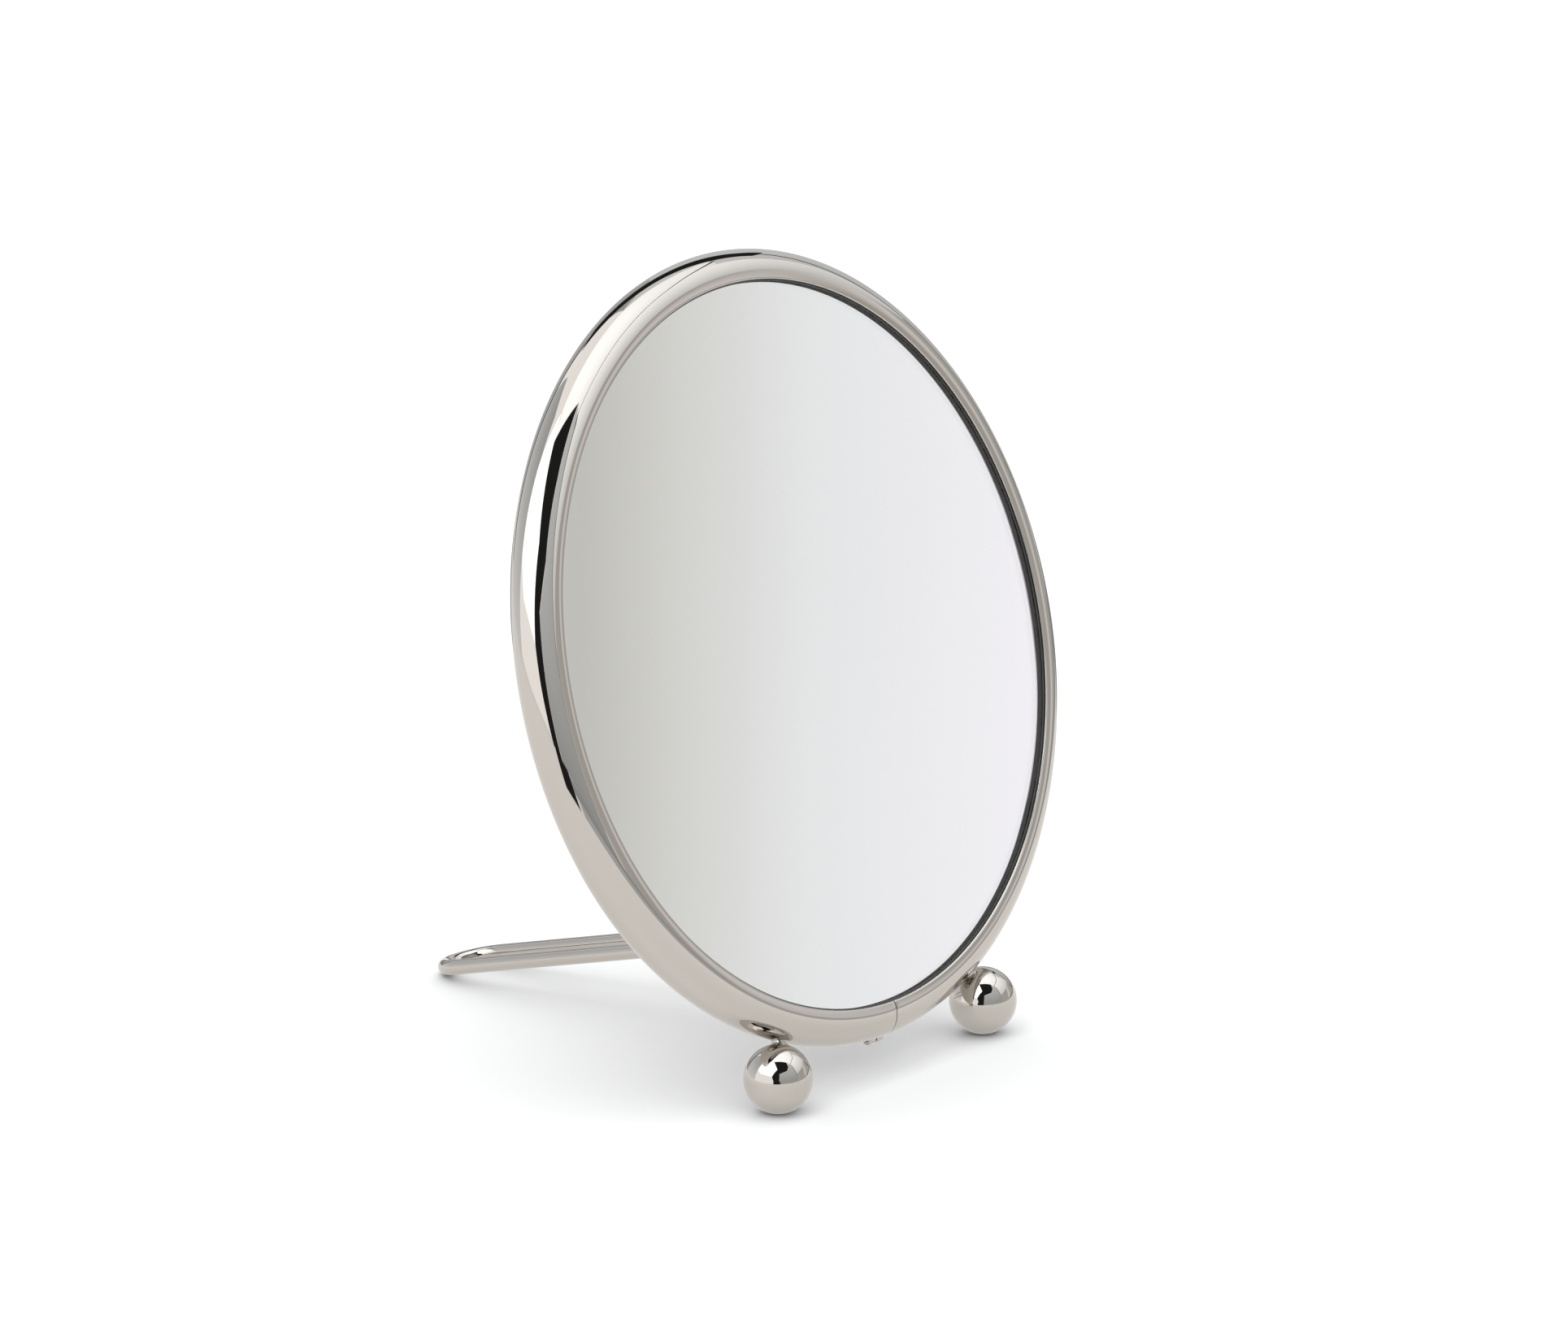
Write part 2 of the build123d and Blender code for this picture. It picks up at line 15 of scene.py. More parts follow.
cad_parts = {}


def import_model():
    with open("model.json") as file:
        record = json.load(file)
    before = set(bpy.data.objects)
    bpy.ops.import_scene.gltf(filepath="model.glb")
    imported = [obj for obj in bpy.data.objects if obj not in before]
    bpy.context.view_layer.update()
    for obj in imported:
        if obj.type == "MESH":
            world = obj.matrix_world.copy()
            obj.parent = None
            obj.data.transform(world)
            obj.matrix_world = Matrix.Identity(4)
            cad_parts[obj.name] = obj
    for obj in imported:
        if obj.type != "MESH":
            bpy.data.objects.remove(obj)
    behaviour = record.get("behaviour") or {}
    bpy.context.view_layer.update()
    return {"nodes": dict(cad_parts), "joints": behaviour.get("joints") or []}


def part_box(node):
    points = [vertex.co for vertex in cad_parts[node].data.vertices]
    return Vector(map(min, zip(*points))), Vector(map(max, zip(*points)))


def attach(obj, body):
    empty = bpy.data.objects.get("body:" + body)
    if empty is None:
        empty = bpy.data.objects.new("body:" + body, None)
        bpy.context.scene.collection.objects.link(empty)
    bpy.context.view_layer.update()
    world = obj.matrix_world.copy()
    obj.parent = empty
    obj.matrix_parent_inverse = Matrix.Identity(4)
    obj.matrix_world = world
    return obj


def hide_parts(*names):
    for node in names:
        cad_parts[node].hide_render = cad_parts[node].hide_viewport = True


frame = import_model()

MM = 0.001
TAU = 2 * math.pi
X_AXIS = Vector((1, 0, 0))

# forms and edges that can't be measured on the frame's boxes, in millimetres
TUBE_WALL = 0.8
LIP_ANGLE = math.radians(107)  # from straight outward to each edge of the ring's slot
LIP_ROUNDING = 0.35
SPLIT_GAP = 0.3
SPLIT_EDGE = 0.12
FINE_EDGE = 0.15
CUT_THROUGH = 1.0  # how far a cutting shape runs past the face it opens
CLEARANCE = 0.05
SEAT_GAP = 0.01  # between the gasket and the glass it holds
SILVER_CLEARANCE = 0.02  # air between the glass and the silvering behind it
GLASS_ROUNDING = 0.3
GASKET_ROUNDING = 0.05
RETAINER_ROUNDING = 0.8
BALL_FLAT_EASE = 0.35

CLAMP_SHANK_RADIUS = 0.8
CLAMP_HEAD_LENGTH = 1.2
CLAMP_HEAD_ROUNDING = 0.1
CLAMP_SOCKET_FLATS = 1.1
CLAMP_SOCKET_DEPTH = 0.8

M4_RADIUS = 2.0
M4_NUT_FLATS = 7.0
M4_HOLE_RADIUS = M4_RADIUS + CLEARANCE
THREAD_PITCH = 0.7
THREAD_DEPTH = 0.36
SHOULDER_HALF_LENGTH = 0.9
SHOULDER_WAIST_RADIUS = 2.45
SHOULDER_FLARE = 0.75

RIVET_PLACES = [(x, v) for x in (-20.8, 20.8) for v in (-5.4, 5.4)]  # from the pivot, across and up
RIVET_SHANK_RADIUS = 1.5
RIVET_HEAD_RADIUS = 2.7
RIVET_DOME_HEIGHT = 1.3
RIVET_UPSET_HEIGHT = 1.0
PAD_HOLE_RADIUS = RIVET_HEAD_RADIUS + 0.4

BRACKET_SHEET = 1.5
BRACKET_HEIGHT = 18.0
BRACKET_CORNER_RADIUS = 4.0
BRACKET_EDGE = 0.25
EAR_STARTS = (-15.9, 14.4)  # along the pivot
EAR_RADIUS = 5.6
STOP_EAR_RADIUS = 3.6
EAR_ROOT = 0.7  # how deep the ears run into the bracket's base
STOP_PIN_RADIUS = 1.5
STOP_HEAD_RADIUS = 2.2
STOP_HEAD_HEIGHT = 0.7
STOP_HEAD_ROUNDING = 0.5
PIVOT_HEAD_HEIGHT = 2.2
PIVOT_HEAD_ROUNDING = 0.45
PIVOT_SLOT_HALF_WIDTH = 0.5
PIVOT_SLOT_DEPTH = 1.0
PIVOT_SLOT_HALF_LENGTH = 8.0
PIVOT_THREAD_START = 16.2
PIVOT_THREAD_LAP = 0.6  # how far the thread starts inside the plain shank
WASHER_RADIUS = 4.2
WASHER_THICKNESS = 0.8
WASHER_STARTS = (-14.35, 13.55)  # along the pivot
SPRING_WASHER_SHEET = 0.5
SPRING_WASHER_ROUNDING = 0.08

ROD_RADIUS = 2.4
BARREL_ROUNDING = 0.4
ROD_SUNK = 0.8  # how far the rod's ends run into the barrel
BRAZE_LENGTH = 2.0
BRAZE_FLARE = 0.9

# camera and studio
LENS = 149.3
SENSOR_WIDTH = 36.0
VIEW_AZIMUTH = -51.58
VIEW_ELEVATION = 14.14
VIEW_DISTANCE = 1941.3
AIM_RIGHT = -3.42
AIM_UP = -7.15
CARD_DISTANCE = 3000.0
SKIRT_FOOT = 1.0  # above the table
WALL_DISTANCE = 1500.0
WALL_AZIMUTH = 50.0
WALL_ELEVATION = 6.6
FLOOR_SIZE = 40000.0
FLOOR_EVENNESS = 0.55  # share of even light in the floor, as polished pieces see it
SKY_STRENGTH = 1.36
KEY_AZIMUTH = -100
KEY_ELEVATION = 55
KEY_DISTANCE = 2600.0
KEY_SIZE = (1.6, 1.2)  # metres
KEY_ENERGY = 7.0


# ---- frames and measuring
class Frame:
    """A place to draw in: an origin in metres and three unit directions."""

    def __init__(self, origin, x, y):
        self.origin = Vector(origin)
        self.x = Vector(x).normalized()
        self.z = self.x.cross(Vector(y)).normalized()
        self.y = self.z.cross(self.x)

    def at(self, x, y, z):
        """Point of the row frame, in metres, for millimetres in this frame."""
        return self.origin + (self.x * x + self.y * y + self.z * z) * MM

    def read(self, point):
        """Millimetres in this frame for a point of the row frame."""
        offset = (Vector(point) - self.origin) / MM
        return offset.dot(self.x), offset.dot(self.y), offset.dot(self.z)

    def moved(self, x, y, z):
        return Frame(self.at(x, y, z), self.x, self.y)

    def matrix(self):
        turn = Matrix((self.x, self.y, self.z)).transposed().to_4x4()
        return Matrix.Translation(self.origin) @ turn


def middle(low_high):
    return sum(low_high) / 2


def box_centre(node):
    low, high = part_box(node)
    return (low + high) / 2


def box_size(node):
    low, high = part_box(node)
    return (high - low) / MM


def ball_centre(node):
    """Centre of a ball foot, whose underside is cut flat."""
    low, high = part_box(node)
    radius = (high.x - low.x) / 2
    return Vector(((low.x + high.x) / 2, (low.y + high.y) / 2, high.z - radius))


class Span:
    """How far a CAD node reaches in a frame: along x, y and z, and from the z axis. Only the
    part of it within some distance of that axis is measured."""

    def __init__(self, node, place, within=1000.0):
        points = [place.read(v.co) for v in frame["nodes"][node].data.vertices]
        points = [p for p in points if math.hypot(p[0], p[1]) < within]
        self.x = (min(p[0] for p in points), max(p[0] for p in points))
        self.y = (min(p[1] for p in points), max(p[1] for p in points))
        self.z = (min(p[2] for p in points), max(p[2] for p in points))
        reach = [math.hypot(p[0], p[1]) for p in points]
        self.radius = (min(reach), max(reach))


RING_CENTRE = box_centre("frame_ring")
BALL_CENTRES = {side: ball_centre("ball_foot_" + side) for side in ("left", "right")}
BALL_RADIUS = box_size("ball_foot_left").x / 2
BALL_MIDDLE = (BALL_CENTRES["left"] + BALL_CENTRES["right"]) / 2
HEAD = Frame(RING_CENTRE, X_AXIS, RING_CENTRE - BALL_MIDDLE)

RING = Span("frame_ring", HEAD)
TUBE_RADIUS = RING.z[1]
RING_RADIUS = RING.radius[1] - TUBE_RADIUS

PIVOT = Vector(frame["joints"][0]["pos_m"])
PIVOT_V, PIVOT_W = HEAD.read(PIVOT)[1:]
HINGE = Frame(PIVOT, HEAD.y, HEAD.z)  # z runs along the pivot, to the right
LOOP_LOW, LOOP_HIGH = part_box("prop_loop")
LEG_SPACING = (LOOP_HIGH.x - LOOP_LOW.x) / MM - 2 * ROD_RADIUS
TIP = Vector((0, LOOP_HIGH.y - ROD_RADIUS * MM, LOOP_LOW.z + ROD_RADIUS * MM))
PROP_LENGTH = (TIP - PIVOT).length / MM
PROP = Frame(PIVOT, X_AXIS, TIP - PIVOT)  # y runs along the legs to the tip


def placed(item):
    """A new object, put in the scene."""
    bpy.context.scene.collection.objects.link(item)
    return item


# ---- mesh helpers
def with_modifier(piece, kind, **settings):
    """Apply one modifier to a piece."""
    change = piece.modifiers.new(kind.lower(), kind)
    for key, value in settings.items():
        setattr(change, key, value)
    depsgraph = bpy.context.evaluated_depsgraph_get()
    mesh = bpy.data.meshes.new_from_object(piece.evaluated_get(depsgraph))
    piece.modifiers.remove(change)
    piece.data = mesh
    return piece


def finish_mesh(name, mesh, smooth_angle=38):
    """New piece with smooth curves, crisp edges and truly flat flats."""
    mesh.shade_smooth()
    mesh.set_sharp_from_angle(angle=math.radians(smooth_angle))
    piece = placed(bpy.data.objects.new(name, mesh))
    return with_modifier(piece, "WEIGHTED_NORMAL", keep_sharp=True, weight=100)


def loft(name, rings, ring_closed=True, joined=False, smooth_angle=38):
    """Skin over a row of point rings. joined links the last ring to the first; otherwise the
    two end rings are capped if they are closed."""
    shape = bmesh.new()
    rows = [[shape.verts.new(point) for point in ring] for ring in rings]
    pairs = list(zip(rows, rows[1:]))
    if joined:
        pairs.append((rows[-1], rows[0]))
    steps = len(rows[0]) if ring_closed else len(rows[0]) - 1
    for row, following in pairs:
        for i in range(steps):
            j = (i + 1) % len(row)
            shape.faces.new((row[i], row[j], following[j], following[i]))
    if ring_closed and not joined:
        for row in (rows[0], rows[-1]):
            shape.faces.new(row)
    bmesh.ops.remove_doubles(shape, verts=shape.verts, dist=1e-8)
    bmesh.ops.recalc_face_normals(shape, faces=shape.faces)
    long_faces = [face for face in shape.faces if len(face.verts) > 4]
    bmesh.ops.triangulate(shape, faces=long_faces)
    mesh = bpy.data.meshes.new(name)
    shape.to_mesh(mesh)
    shape.free()
    return finish_mesh(name, mesh, smooth_angle)


def lathe(name, place, profile, closed=True, segments=128):
    """Turned form about a frame's z axis. profile holds (radius, height) points; an open
    profile starts and ends on the axis."""
    rings = []
    for i in range(segments):
        angle = TAU * i / segments
        ring = [place.at(r * math.cos(angle), r * math.sin(angle), z) for r, z in profile]
        rings.append(ring)
    return loft(name, rings, ring_closed=closed, joined=True)


def softened(points, radius, closed=True, steps=4):
    """Outline with each corner eased over by about radius."""
    count = len(points)
    corners = [Vector(point) for point in points]
    outline = []
    for i, corner in enumerate(corners):
        if not closed and i in (0, count - 1):
            outline.append(tuple(corner))
            continue
        back = corners[i - 1] - corner
        ahead = corners[(i + 1) % count] - corner
        half = back.angle(ahead) / 2
        reach = min(radius / math.tan(half), 0.45 * back.length, 0.45 * ahead.length)
        start = corner + back.normalized() * reach
        end = corner + ahead.normalized() * reach
        for k in range(steps + 1):
            t = k / steps
            point = start * (1 - t) ** 2 + corner * 2 * t * (1 - t) + end * t**2
            outline.append(tuple(point))
    return outline


def turned(name, place, profile, rounding, segments):
    """Solid turned about a frame's z axis, with every corner eased but those on the axis."""
    outline = softened(profile, rounding, closed=False)
    return lathe(name, place, outline, closed=False, segments=segments)


def rectangle(inner, outer, low, high):
    return [(inner, low), (outer, low), (outer, high), (inner, high)]


def circle_points(radius, count=48, centre=(0, 0)):
    turns = [TAU * i / count for i in range(count)]
    return [(centre[0] + radius * math.cos(a), centre[1] + radius * math.sin(a)) for a in turns]


def rounded_rectangle(width, height, radius, steps=10):
    outline = []
    for k, (sx, sy) in enumerate(((1, 1), (-1, 1), (-1, -1), (1, -1))):
        cx = sx * (width / 2 - radius)
        cy = sy * (height / 2 - radius)
        for i in range(steps + 1):
            angle = TAU / 4 * (k + i / steps)
            outline.append((cx + radius * math.cos(angle), cy + radius * math.sin(angle)))
    return outline


def sheet(name, place, outline, holes, thickness, edge):
    """Flat sheet with eased edges and holes, standing from z 0 to thickness in its frame."""
    curve = bpy.data.curves.new(name, "CURVE")
    curve.dimensions = "2D"
    curve.fill_mode = "BOTH"
    curve.extrude = (thickness / 2 - edge) * MM
    curve.bevel_depth = edge * MM
    curve.bevel_resolution = 2
    curve.offset = -edge * MM
    for points in [outline] + [hole[::-1] for hole in holes]:
        spline = curve.splines.new("POLY")
        spline.points.add(len(points) - 1)
        for slot, (x, y) in zip(spline.points, points):
            slot.co = (x * MM, y * MM, 0, 1)
        spline.use_cyclic_u = True
    flat = placed(bpy.data.objects.new(name + "_outline", curve))
    depsgraph = bpy.context.evaluated_depsgraph_get()
    mesh = bpy.data.meshes.new_from_object(flat.evaluated_get(depsgraph))
    bpy.data.objects.remove(flat)
    mesh.transform(place.moved(0, 0, thickness / 2).matrix())
    shape = bmesh.new()
    shape.from_mesh(mesh)
    bmesh.ops.remove_doubles(shape, verts=shape.verts, dist=1e-7)
    bmesh.ops.recalc_face_normals(shape, faces=shape.faces)
    shape.to_mesh(mesh)
    shape.free()
    return finish_mesh(name, mesh)


def combine(base, tool, operation):
    """base with tool cut away or added; tool is used up."""
    with_modifier(base, "BOOLEAN", operation=operation, solver="EXACT", object=tool)
    name = base.name
    mesh = base.data
    bpy.data.objects.remove(base)
    bpy.data.objects.remove(tool)
    return finish_mesh(name, mesh)


def joined(name, pieces):
    """Separate solids that belong to one piece, such as a pair of nuts."""
    shape = bmesh.new()
    for piece in pieces:
        shape.from_mesh(piece.data)
        bpy.data.objects.remove(piece)
    mesh = bpy.data.meshes.new(name)
    shape.to_mesh(mesh)
    shape.free()
    return finish_mesh(name, mesh)


def threaded_rod(name, place, radius, start, end, columns=40, rows_per_turn=8):
    """Rod with a real helical thread and tapered ends, along a frame's z axis."""
    taper = THREAD_DEPTH * 1.5
    count = int((end - start) / THREAD_PITCH * rows_per_turn)
    rings = []
    for i in range(count + 1):
        z = start + (end - start) * i / count
        room = min(z - start, end - z)
        limit = radius - max(0.0, taper - room)
        ring = []
        for j in range(columns):
            phase = (z / THREAD_PITCH - j / columns) % 1.0
            groove = 1 - abs(2 * phase - 1)
            r = min(limit, radius - THREAD_DEPTH * groove)
            angle = TAU * j / columns
            ring.append(place.at(r * math.cos(angle), r * math.sin(angle), z))
        rings.append(ring)
    return loft(name, rings, smooth_angle=50)


def hex_nut(name, place, across_flats, bore, start, thickness, per_side=8):
    """Nut with chamfered corners and a countersunk bore, along a frame's z axis."""
    half_flats = across_flats / 2
    face_radius = half_flats * 0.97
    lead = 0.3
    slope = math.tan(math.radians(28))
    rings = []
    for i in range(6 * per_side):
        angle = TAU * i / (6 * per_side)
        side_angle = (angle + TAU / 12) % (TAU / 6) - TAU / 12
        corner = half_flats / math.cos(abs(abs(side_angle) - TAU / 12))
        drop = (corner - face_radius) * slope
        profile = [
            (bore, lead),
            (bore + lead, 0),
            (face_radius, 0),
            (corner, drop),
            (corner, thickness - drop),
            (face_radius, thickness),
            (bore + lead, thickness),
            (bore, thickness - lead),
        ]
        ring = [place.at(r * math.cos(angle), r * math.sin(angle), start + z) for r, z in profile]
        rings.append(ring)
    return loft(name, rings, joined=True, smooth_angle=30)


def rod_along(name, place, path, radii, segments=48):
    """Round rod along a flat path in a frame's x-y plane, with its own radius at each point."""
    rings = []
    for i, (x, y) in enumerate(path):
        before = Vector(path[max(i - 1, 0)])
        after = Vector(path[min(i + 1, len(path) - 1)])
        along = (after - before).normalized()
        side = (along.y, -along.x)
        ring = []
        for j in range(segments):
            angle = TAU * j / segments
            out = radii[i] * math.cos(angle)
            ring.append(place.at(x + side[0] * out, y + side[1] * out, radii[i] * math.sin(angle)))
        rings.append(ring)
    return loft(name, rings)


# ---- materials
class Nodes:
    """Short way to write a material's node tree."""

    def __init__(self, name):
        self.material = bpy.data.materials.new(name)
        self.material.use_nodes = True
        self.tree = self.material.node_tree
        self.tree.nodes.clear()
        self.output = self.tree.nodes.new("ShaderNodeOutputMaterial")
        coordinates = self.tree.nodes.new("ShaderNodeTexCoord")
        coordinates.object = HEAD_AXES
        self.place = coordinates.outputs["Object"]

    def add(self, kind, **inputs):
        node = self.tree.nodes.new("ShaderNode" + kind)
        for key, value in inputs.items():
            self.set(node, key.replace("_", " "), value)
        return node

    def set(self, node, key, value):
        if isinstance(value, bpy.types.NodeSocket):
            self.tree.links.new(value, node.inputs[key])
        else:
            node.inputs[key].default_value = value

    def noise(self, scale, detail=3.0, roughness=0.5, where=None):
        node = self.add("TexNoise", Scale=scale, Detail=detail, Roughness=roughness)
        self.tree.links.new(where or self.place, node.inputs["Vector"])
        return node.outputs["Fac"]

    def stretched(self, x, y, z):
        node = self.add("Mapping")
        self.tree.links.new(self.place, node.inputs["Vector"])
        node.inputs["Scale"].default_value = (x, y, z)
        return node.outputs["Vector"]

    def between(self, source, low, high, from_low=0.3, from_high=0.7):
        """source, which runs from from_low to from_high, brought to low to high."""
        node = self.add("MapRange", Value=source)
        node.inputs["From Min"].default_value = from_low
        node.inputs["From Max"].default_value = from_high
        node.inputs["To Min"].default_value = low
        node.inputs["To Max"].default_value = high
        return node.outputs["Result"]

    def colours(self, source, first, second):
        node = self.add("Mix")
        node.data_type = "RGBA"
        self.tree.links.new(source, node.inputs[0])
        node.inputs[6].default_value = (*first, 1)
        node.inputs[7].default_value = (*second, 1)
        return node.outputs[2]

    def bump(self, source, strength, distance):
        node = self.add("Bump", Height=source, Strength=strength, Distance=distance)
        return node.outputs["Normal"]

    def done(self, shader):
        self.tree.links.new(shader.outputs[0], self.output.inputs["Surface"])
        return self.material

    def surface(self, **inputs):
        return self.done(self.add("BsdfPrincipled", **inputs))


def head_axes():
    """Empty on the ring's centre, so that grain can run round the mirror."""
    axes = placed(bpy.data.objects.new("head_axes", None))
    axes.matrix_world = HEAD.matrix()
    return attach(axes, "mirror_head")


HEAD_AXES = head_axes()


def polished_nickel():
    """Mirror-polished nickel plate: faintly warm, with soft wiping marks and a slow ripple."""
    n = Nodes("polished_nickel")
    smear = n.noise(38.0, detail=5.0, roughness=0.62)
    cloud = n.noise(9.0, detail=2.0)
    colour = n.colours(n.between(cloud, 0, 1), (0.545, 0.509, 0.469), (0.585, 0.548, 0.508))
    ripple = n.noise(22.0, detail=1.0)
    return n.surface(
        Base_Color=colour,
        Metallic=1.0,
        Roughness=n.between(smear, 0.015, 0.05),
        Normal=n.bump(ripple, 0.25, 0.00002),
    )


def nickel_hardware():
    """Nickel-plated turned and pressed parts, with fine tool marks."""
    n = Nodes("nickel_hardware")
    marks = n.noise(900.0, detail=2.0, where=n.stretched(0.15, 1.0, 1.0))
    tone = n.noise(120.0, detail=3.0)
    colour = n.colours(n.between(tone, 0, 1), (0.50, 0.475, 0.45), (0.60, 0.575, 0.55))
    return n.surface(
        Base_Color=colour,
        Metallic=1.0,
        Roughness=n.between(marks, 0.16, 0.30),
        Normal=n.bump(marks, 0.25, 0.00002),
    )


def zinc_steel():
    """Zinc-plated steel with a faint crystal pattern."""
    n = Nodes("zinc_steel")
    cells = n.add("TexVoronoi", Scale=700.0)
    n.tree.links.new(n.place, cells.inputs["Vector"])
    colour = n.colours(cells.outputs["Distance"], (0.47, 0.48, 0.49), (0.60, 0.61, 0.61))
    return n.surface(
        Base_Color=colour,
        Metallic=1.0,
        Roughness=n.between(n.noise(400.0), 0.28, 0.45),
    )


def satin_plate():
    """Sheet with a fine grain turned round its centre."""
    n = Nodes("satin_nickel_plate")
    split = n.add("SeparateXYZ", Vector=n.place)
    flat = n.add("CombineXYZ", X=split.outputs["X"], Y=split.outputs["Y"])
    reach = n.add("VectorMath", Vector=flat.outputs[0])
    reach.operation = "LENGTH"
    around = n.add("Math")
    around.operation = "ARCTAN2"
    n.set(around, 0, split.outputs["Y"])
    n.set(around, 1, split.outputs["X"])
    slow_turn = n.add("Math", Value=around.outputs[0])
    slow_turn.operation = "MULTIPLY"
    slow_turn.inputs[1].default_value = 0.0012
    polar = n.add("CombineXYZ", X=reach.outputs["Value"], Y=slow_turn.outputs[0])
    grain = n.noise(2600.0, detail=4.0, roughness=0.7, where=polar.outputs[0])
    tone = n.noise(14.0, detail=4.0)
    colour = n.colours(n.between(tone, 0, 1), (0.52, 0.50, 0.475), (0.585, 0.565, 0.54))
    return n.surface(
        Base_Color=colour,
        Metallic=1.0,
        Roughness=n.between(grain, 0.24, 0.42),
        Anisotropic=0.5,
        Normal=n.bump(grain, 0.35, 0.00003),
    )


def clear_glass():
    """Float glass: clear, with a faint green tint through its thickness."""
    n = Nodes("clear_glass")
    film = n.noise(45.0, detail=4.0)
    shader = n.add(
        "BsdfPrincipled",
        Base_Color=(0.993, 1.0, 0.995, 1),
        Roughness=n.between(film, 0.0, 0.006),
        IOR=1.52,
        Transmission_Weight=1.0,
    )
    body = n.add("VolumeAbsorption", Color=(0.80, 0.95, 0.88, 1), Density=3.0)
    n.tree.links.new(body.outputs[0], n.output.inputs["Volume"])
    return n.done(shader)


def silvering():
    """Silver coating, a little uneven in tone as real coatings are."""
    n = Nodes("silvering")
    tone = n.noise(6.0, detail=2.0)
    colour = n.colours(n.between(tone, 0, 1), (0.945, 0.94, 0.94), (0.96, 0.955, 0.955))
    return n.surface(Base_Color=colour, Metallic=1.0, Roughness=0.0)


def felt():
    n = Nodes("felt")
    fibres = n.noise(2400.0, detail=6.0, roughness=0.75)
    colour = n.colours(n.between(fibres, 0, 1), (0.05, 0.05, 0.05), (0.13, 0.13, 0.125))
    return n.surface(
        Base_Color=colour,
        Roughness=0.95,
        Sheen_Weight=0.4,
        Normal=n.bump(fibres, 0.8, 0.0003),
    )


def black_rubber():
    """Smooth moulded rubber, dark grey with a little dust on it."""
    n = Nodes("black_rubber")
    skin = n.noise(700.0, detail=3.0, roughness=0.6)
    dust = n.noise(60.0, detail=3.0)
    colour = n.colours(n.between(dust, 0, 1), (0.055, 0.055, 0.050), (0.075, 0.074, 0.068))
    return n.surface(
        Base_Color=colour,
        Roughness=n.between(skin, 0.45, 0.60),
        Normal=n.bump(skin, 0.15, 0.00001),
    )


def fibre():
    """Pressed vulcanised fibre, dark red-brown."""
    n = Nodes("fibre")
    strands = n.noise(1800.0, detail=5.0, where=n.stretched(1.0, 0.2, 1.0))
    colour = n.colours(n.between(strands, 0, 1), (0.07, 0.035, 0.025), (0.16, 0.08, 0.055))
    return n.surface(
        Base_Color=colour,
        Roughness=0.7,
        Normal=n.bump(strands, 0.4, 0.0001),
    )


MATERIALS = {
    "polished_nickel": polished_nickel(),
    "nickel_hardware": nickel_hardware(),
    "zinc_steel": zinc_steel(),
    "satin_nickel_plate": satin_plate(),
    "clear_glass": clear_glass(),
    "silvering": silvering(),
    "felt": felt(),
    "black_rubber": black_rubber(),
    "fibre": fibre(),
}


def dress(piece, slot):
    piece.data.materials.clear()
    piece.data.materials.append(MATERIALS[slot])


def fit(piece, node, slot, body="mirror_head"):
    """A finished piece stands for its CAD node, rides on its body and takes its finish."""
    dress(piece, slot)
    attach(piece, body)
    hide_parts(node)


# ---- ring and its clamp
def ring_section(inset):
    """C-shaped section as (radius, w): outer skin, front lip, bore, back lip."""
    outer = TUBE_RADIUS - inset
    bore = TUBE_RADIUS - TUBE_WALL + inset
    rounding = min(LIP_ROUNDING, (outer - bore) / 2)
    lip = LIP_ANGLE - inset / TUBE_RADIUS
    skin = lip - rounding / outer
    points = [(outer, skin * (2 * i / 72 - 1)) for i in range(73)]
    section = [(RING_RADIUS + r * math.cos(a), r * math.sin(a)) for r, a in points]
    section += lip_edge(lip, outer, bore, rounding, 1)
    points = [(bore, skin * (1 - 2 * i / 36)) for i in range(37)]
    section += [(RING_RADIUS + r * math.cos(a), r * math.sin(a)) for r, a in points]
    section += lip_edge(lip, outer, bore, rounding, -1)[::-1]
    return section


def lip_edge(lip, outer, bore, rounding, side, steps=5):
    """Rounded edge of the slot, from the outer skin to the bore, without its end points."""
    edge = []
    for centre_radius, first in ((outer - rounding, 0), (bore + rounding, 1)):
        for k in range(1, steps):
            swing = TAU / 4 * (first + k / steps)
            radius = centre_radius + rounding * math.cos(swing)
            angle = lip - rounding / outer * (1 - math.sin(swing))
            edge.append((RING_RADIUS + radius * math.cos(angle), side * radius * math.sin(angle)))
    return edge


def frame_ring(segments=720, edge_steps=5):
    """The bent tube, open by a hairline at the bottom, with eased ends."""
    stations = []
    for k in range(edge_steps):
        swing = TAU / 4 * k / edge_steps
        along = SPLIT_GAP / 2 + SPLIT_EDGE * (1 - math.cos(swing))
        stations.append((along / RING_RADIUS, SPLIT_EDGE * (1 - math.sin(swing))))
    start = (SPLIT_GAP / 2 + SPLIT_EDGE) / RING_RADIUS
    around = [(start + (TAU - 2 * start) * i / segments, 0.0) for i in range(segments + 1)]
    ends = [(TAU - turn, inset) for turn, inset in reversed(stations)]
    rings = []
    for turn, inset in stations + around + ends:
        out = (math.sin(turn), -math.cos(turn))
        rings.append([HEAD.at(r * out[0], r * out[1], w) for r, w in ring_section(inset)])
    return loft("frame_ring", rings)


def tube_skin(name):
    """Plain closed torus over the ring's outer skin, used to cut seats into other pieces."""
    rings = []
    for i in range(360):
        turn = TAU * i / 360
        out = (math.sin(turn), -math.cos(turn))
        ring = []
        for r, w in circle_points(TUBE_RADIUS, 64, (RING_RADIUS, 0)):
            ring.append(HEAD.at(r * out[0], r * out[1], w))
        rings.append(ring)
    return loft(name, rings, joined=True)


def clamp_frame():
    """Frame on the clamp screw: z runs to the right."""
    screw = Span("clamp_screw", HEAD)
    return Frame(HEAD.at(0, middle(screw.y), middle(screw.z)), HEAD.y, HEAD.z)


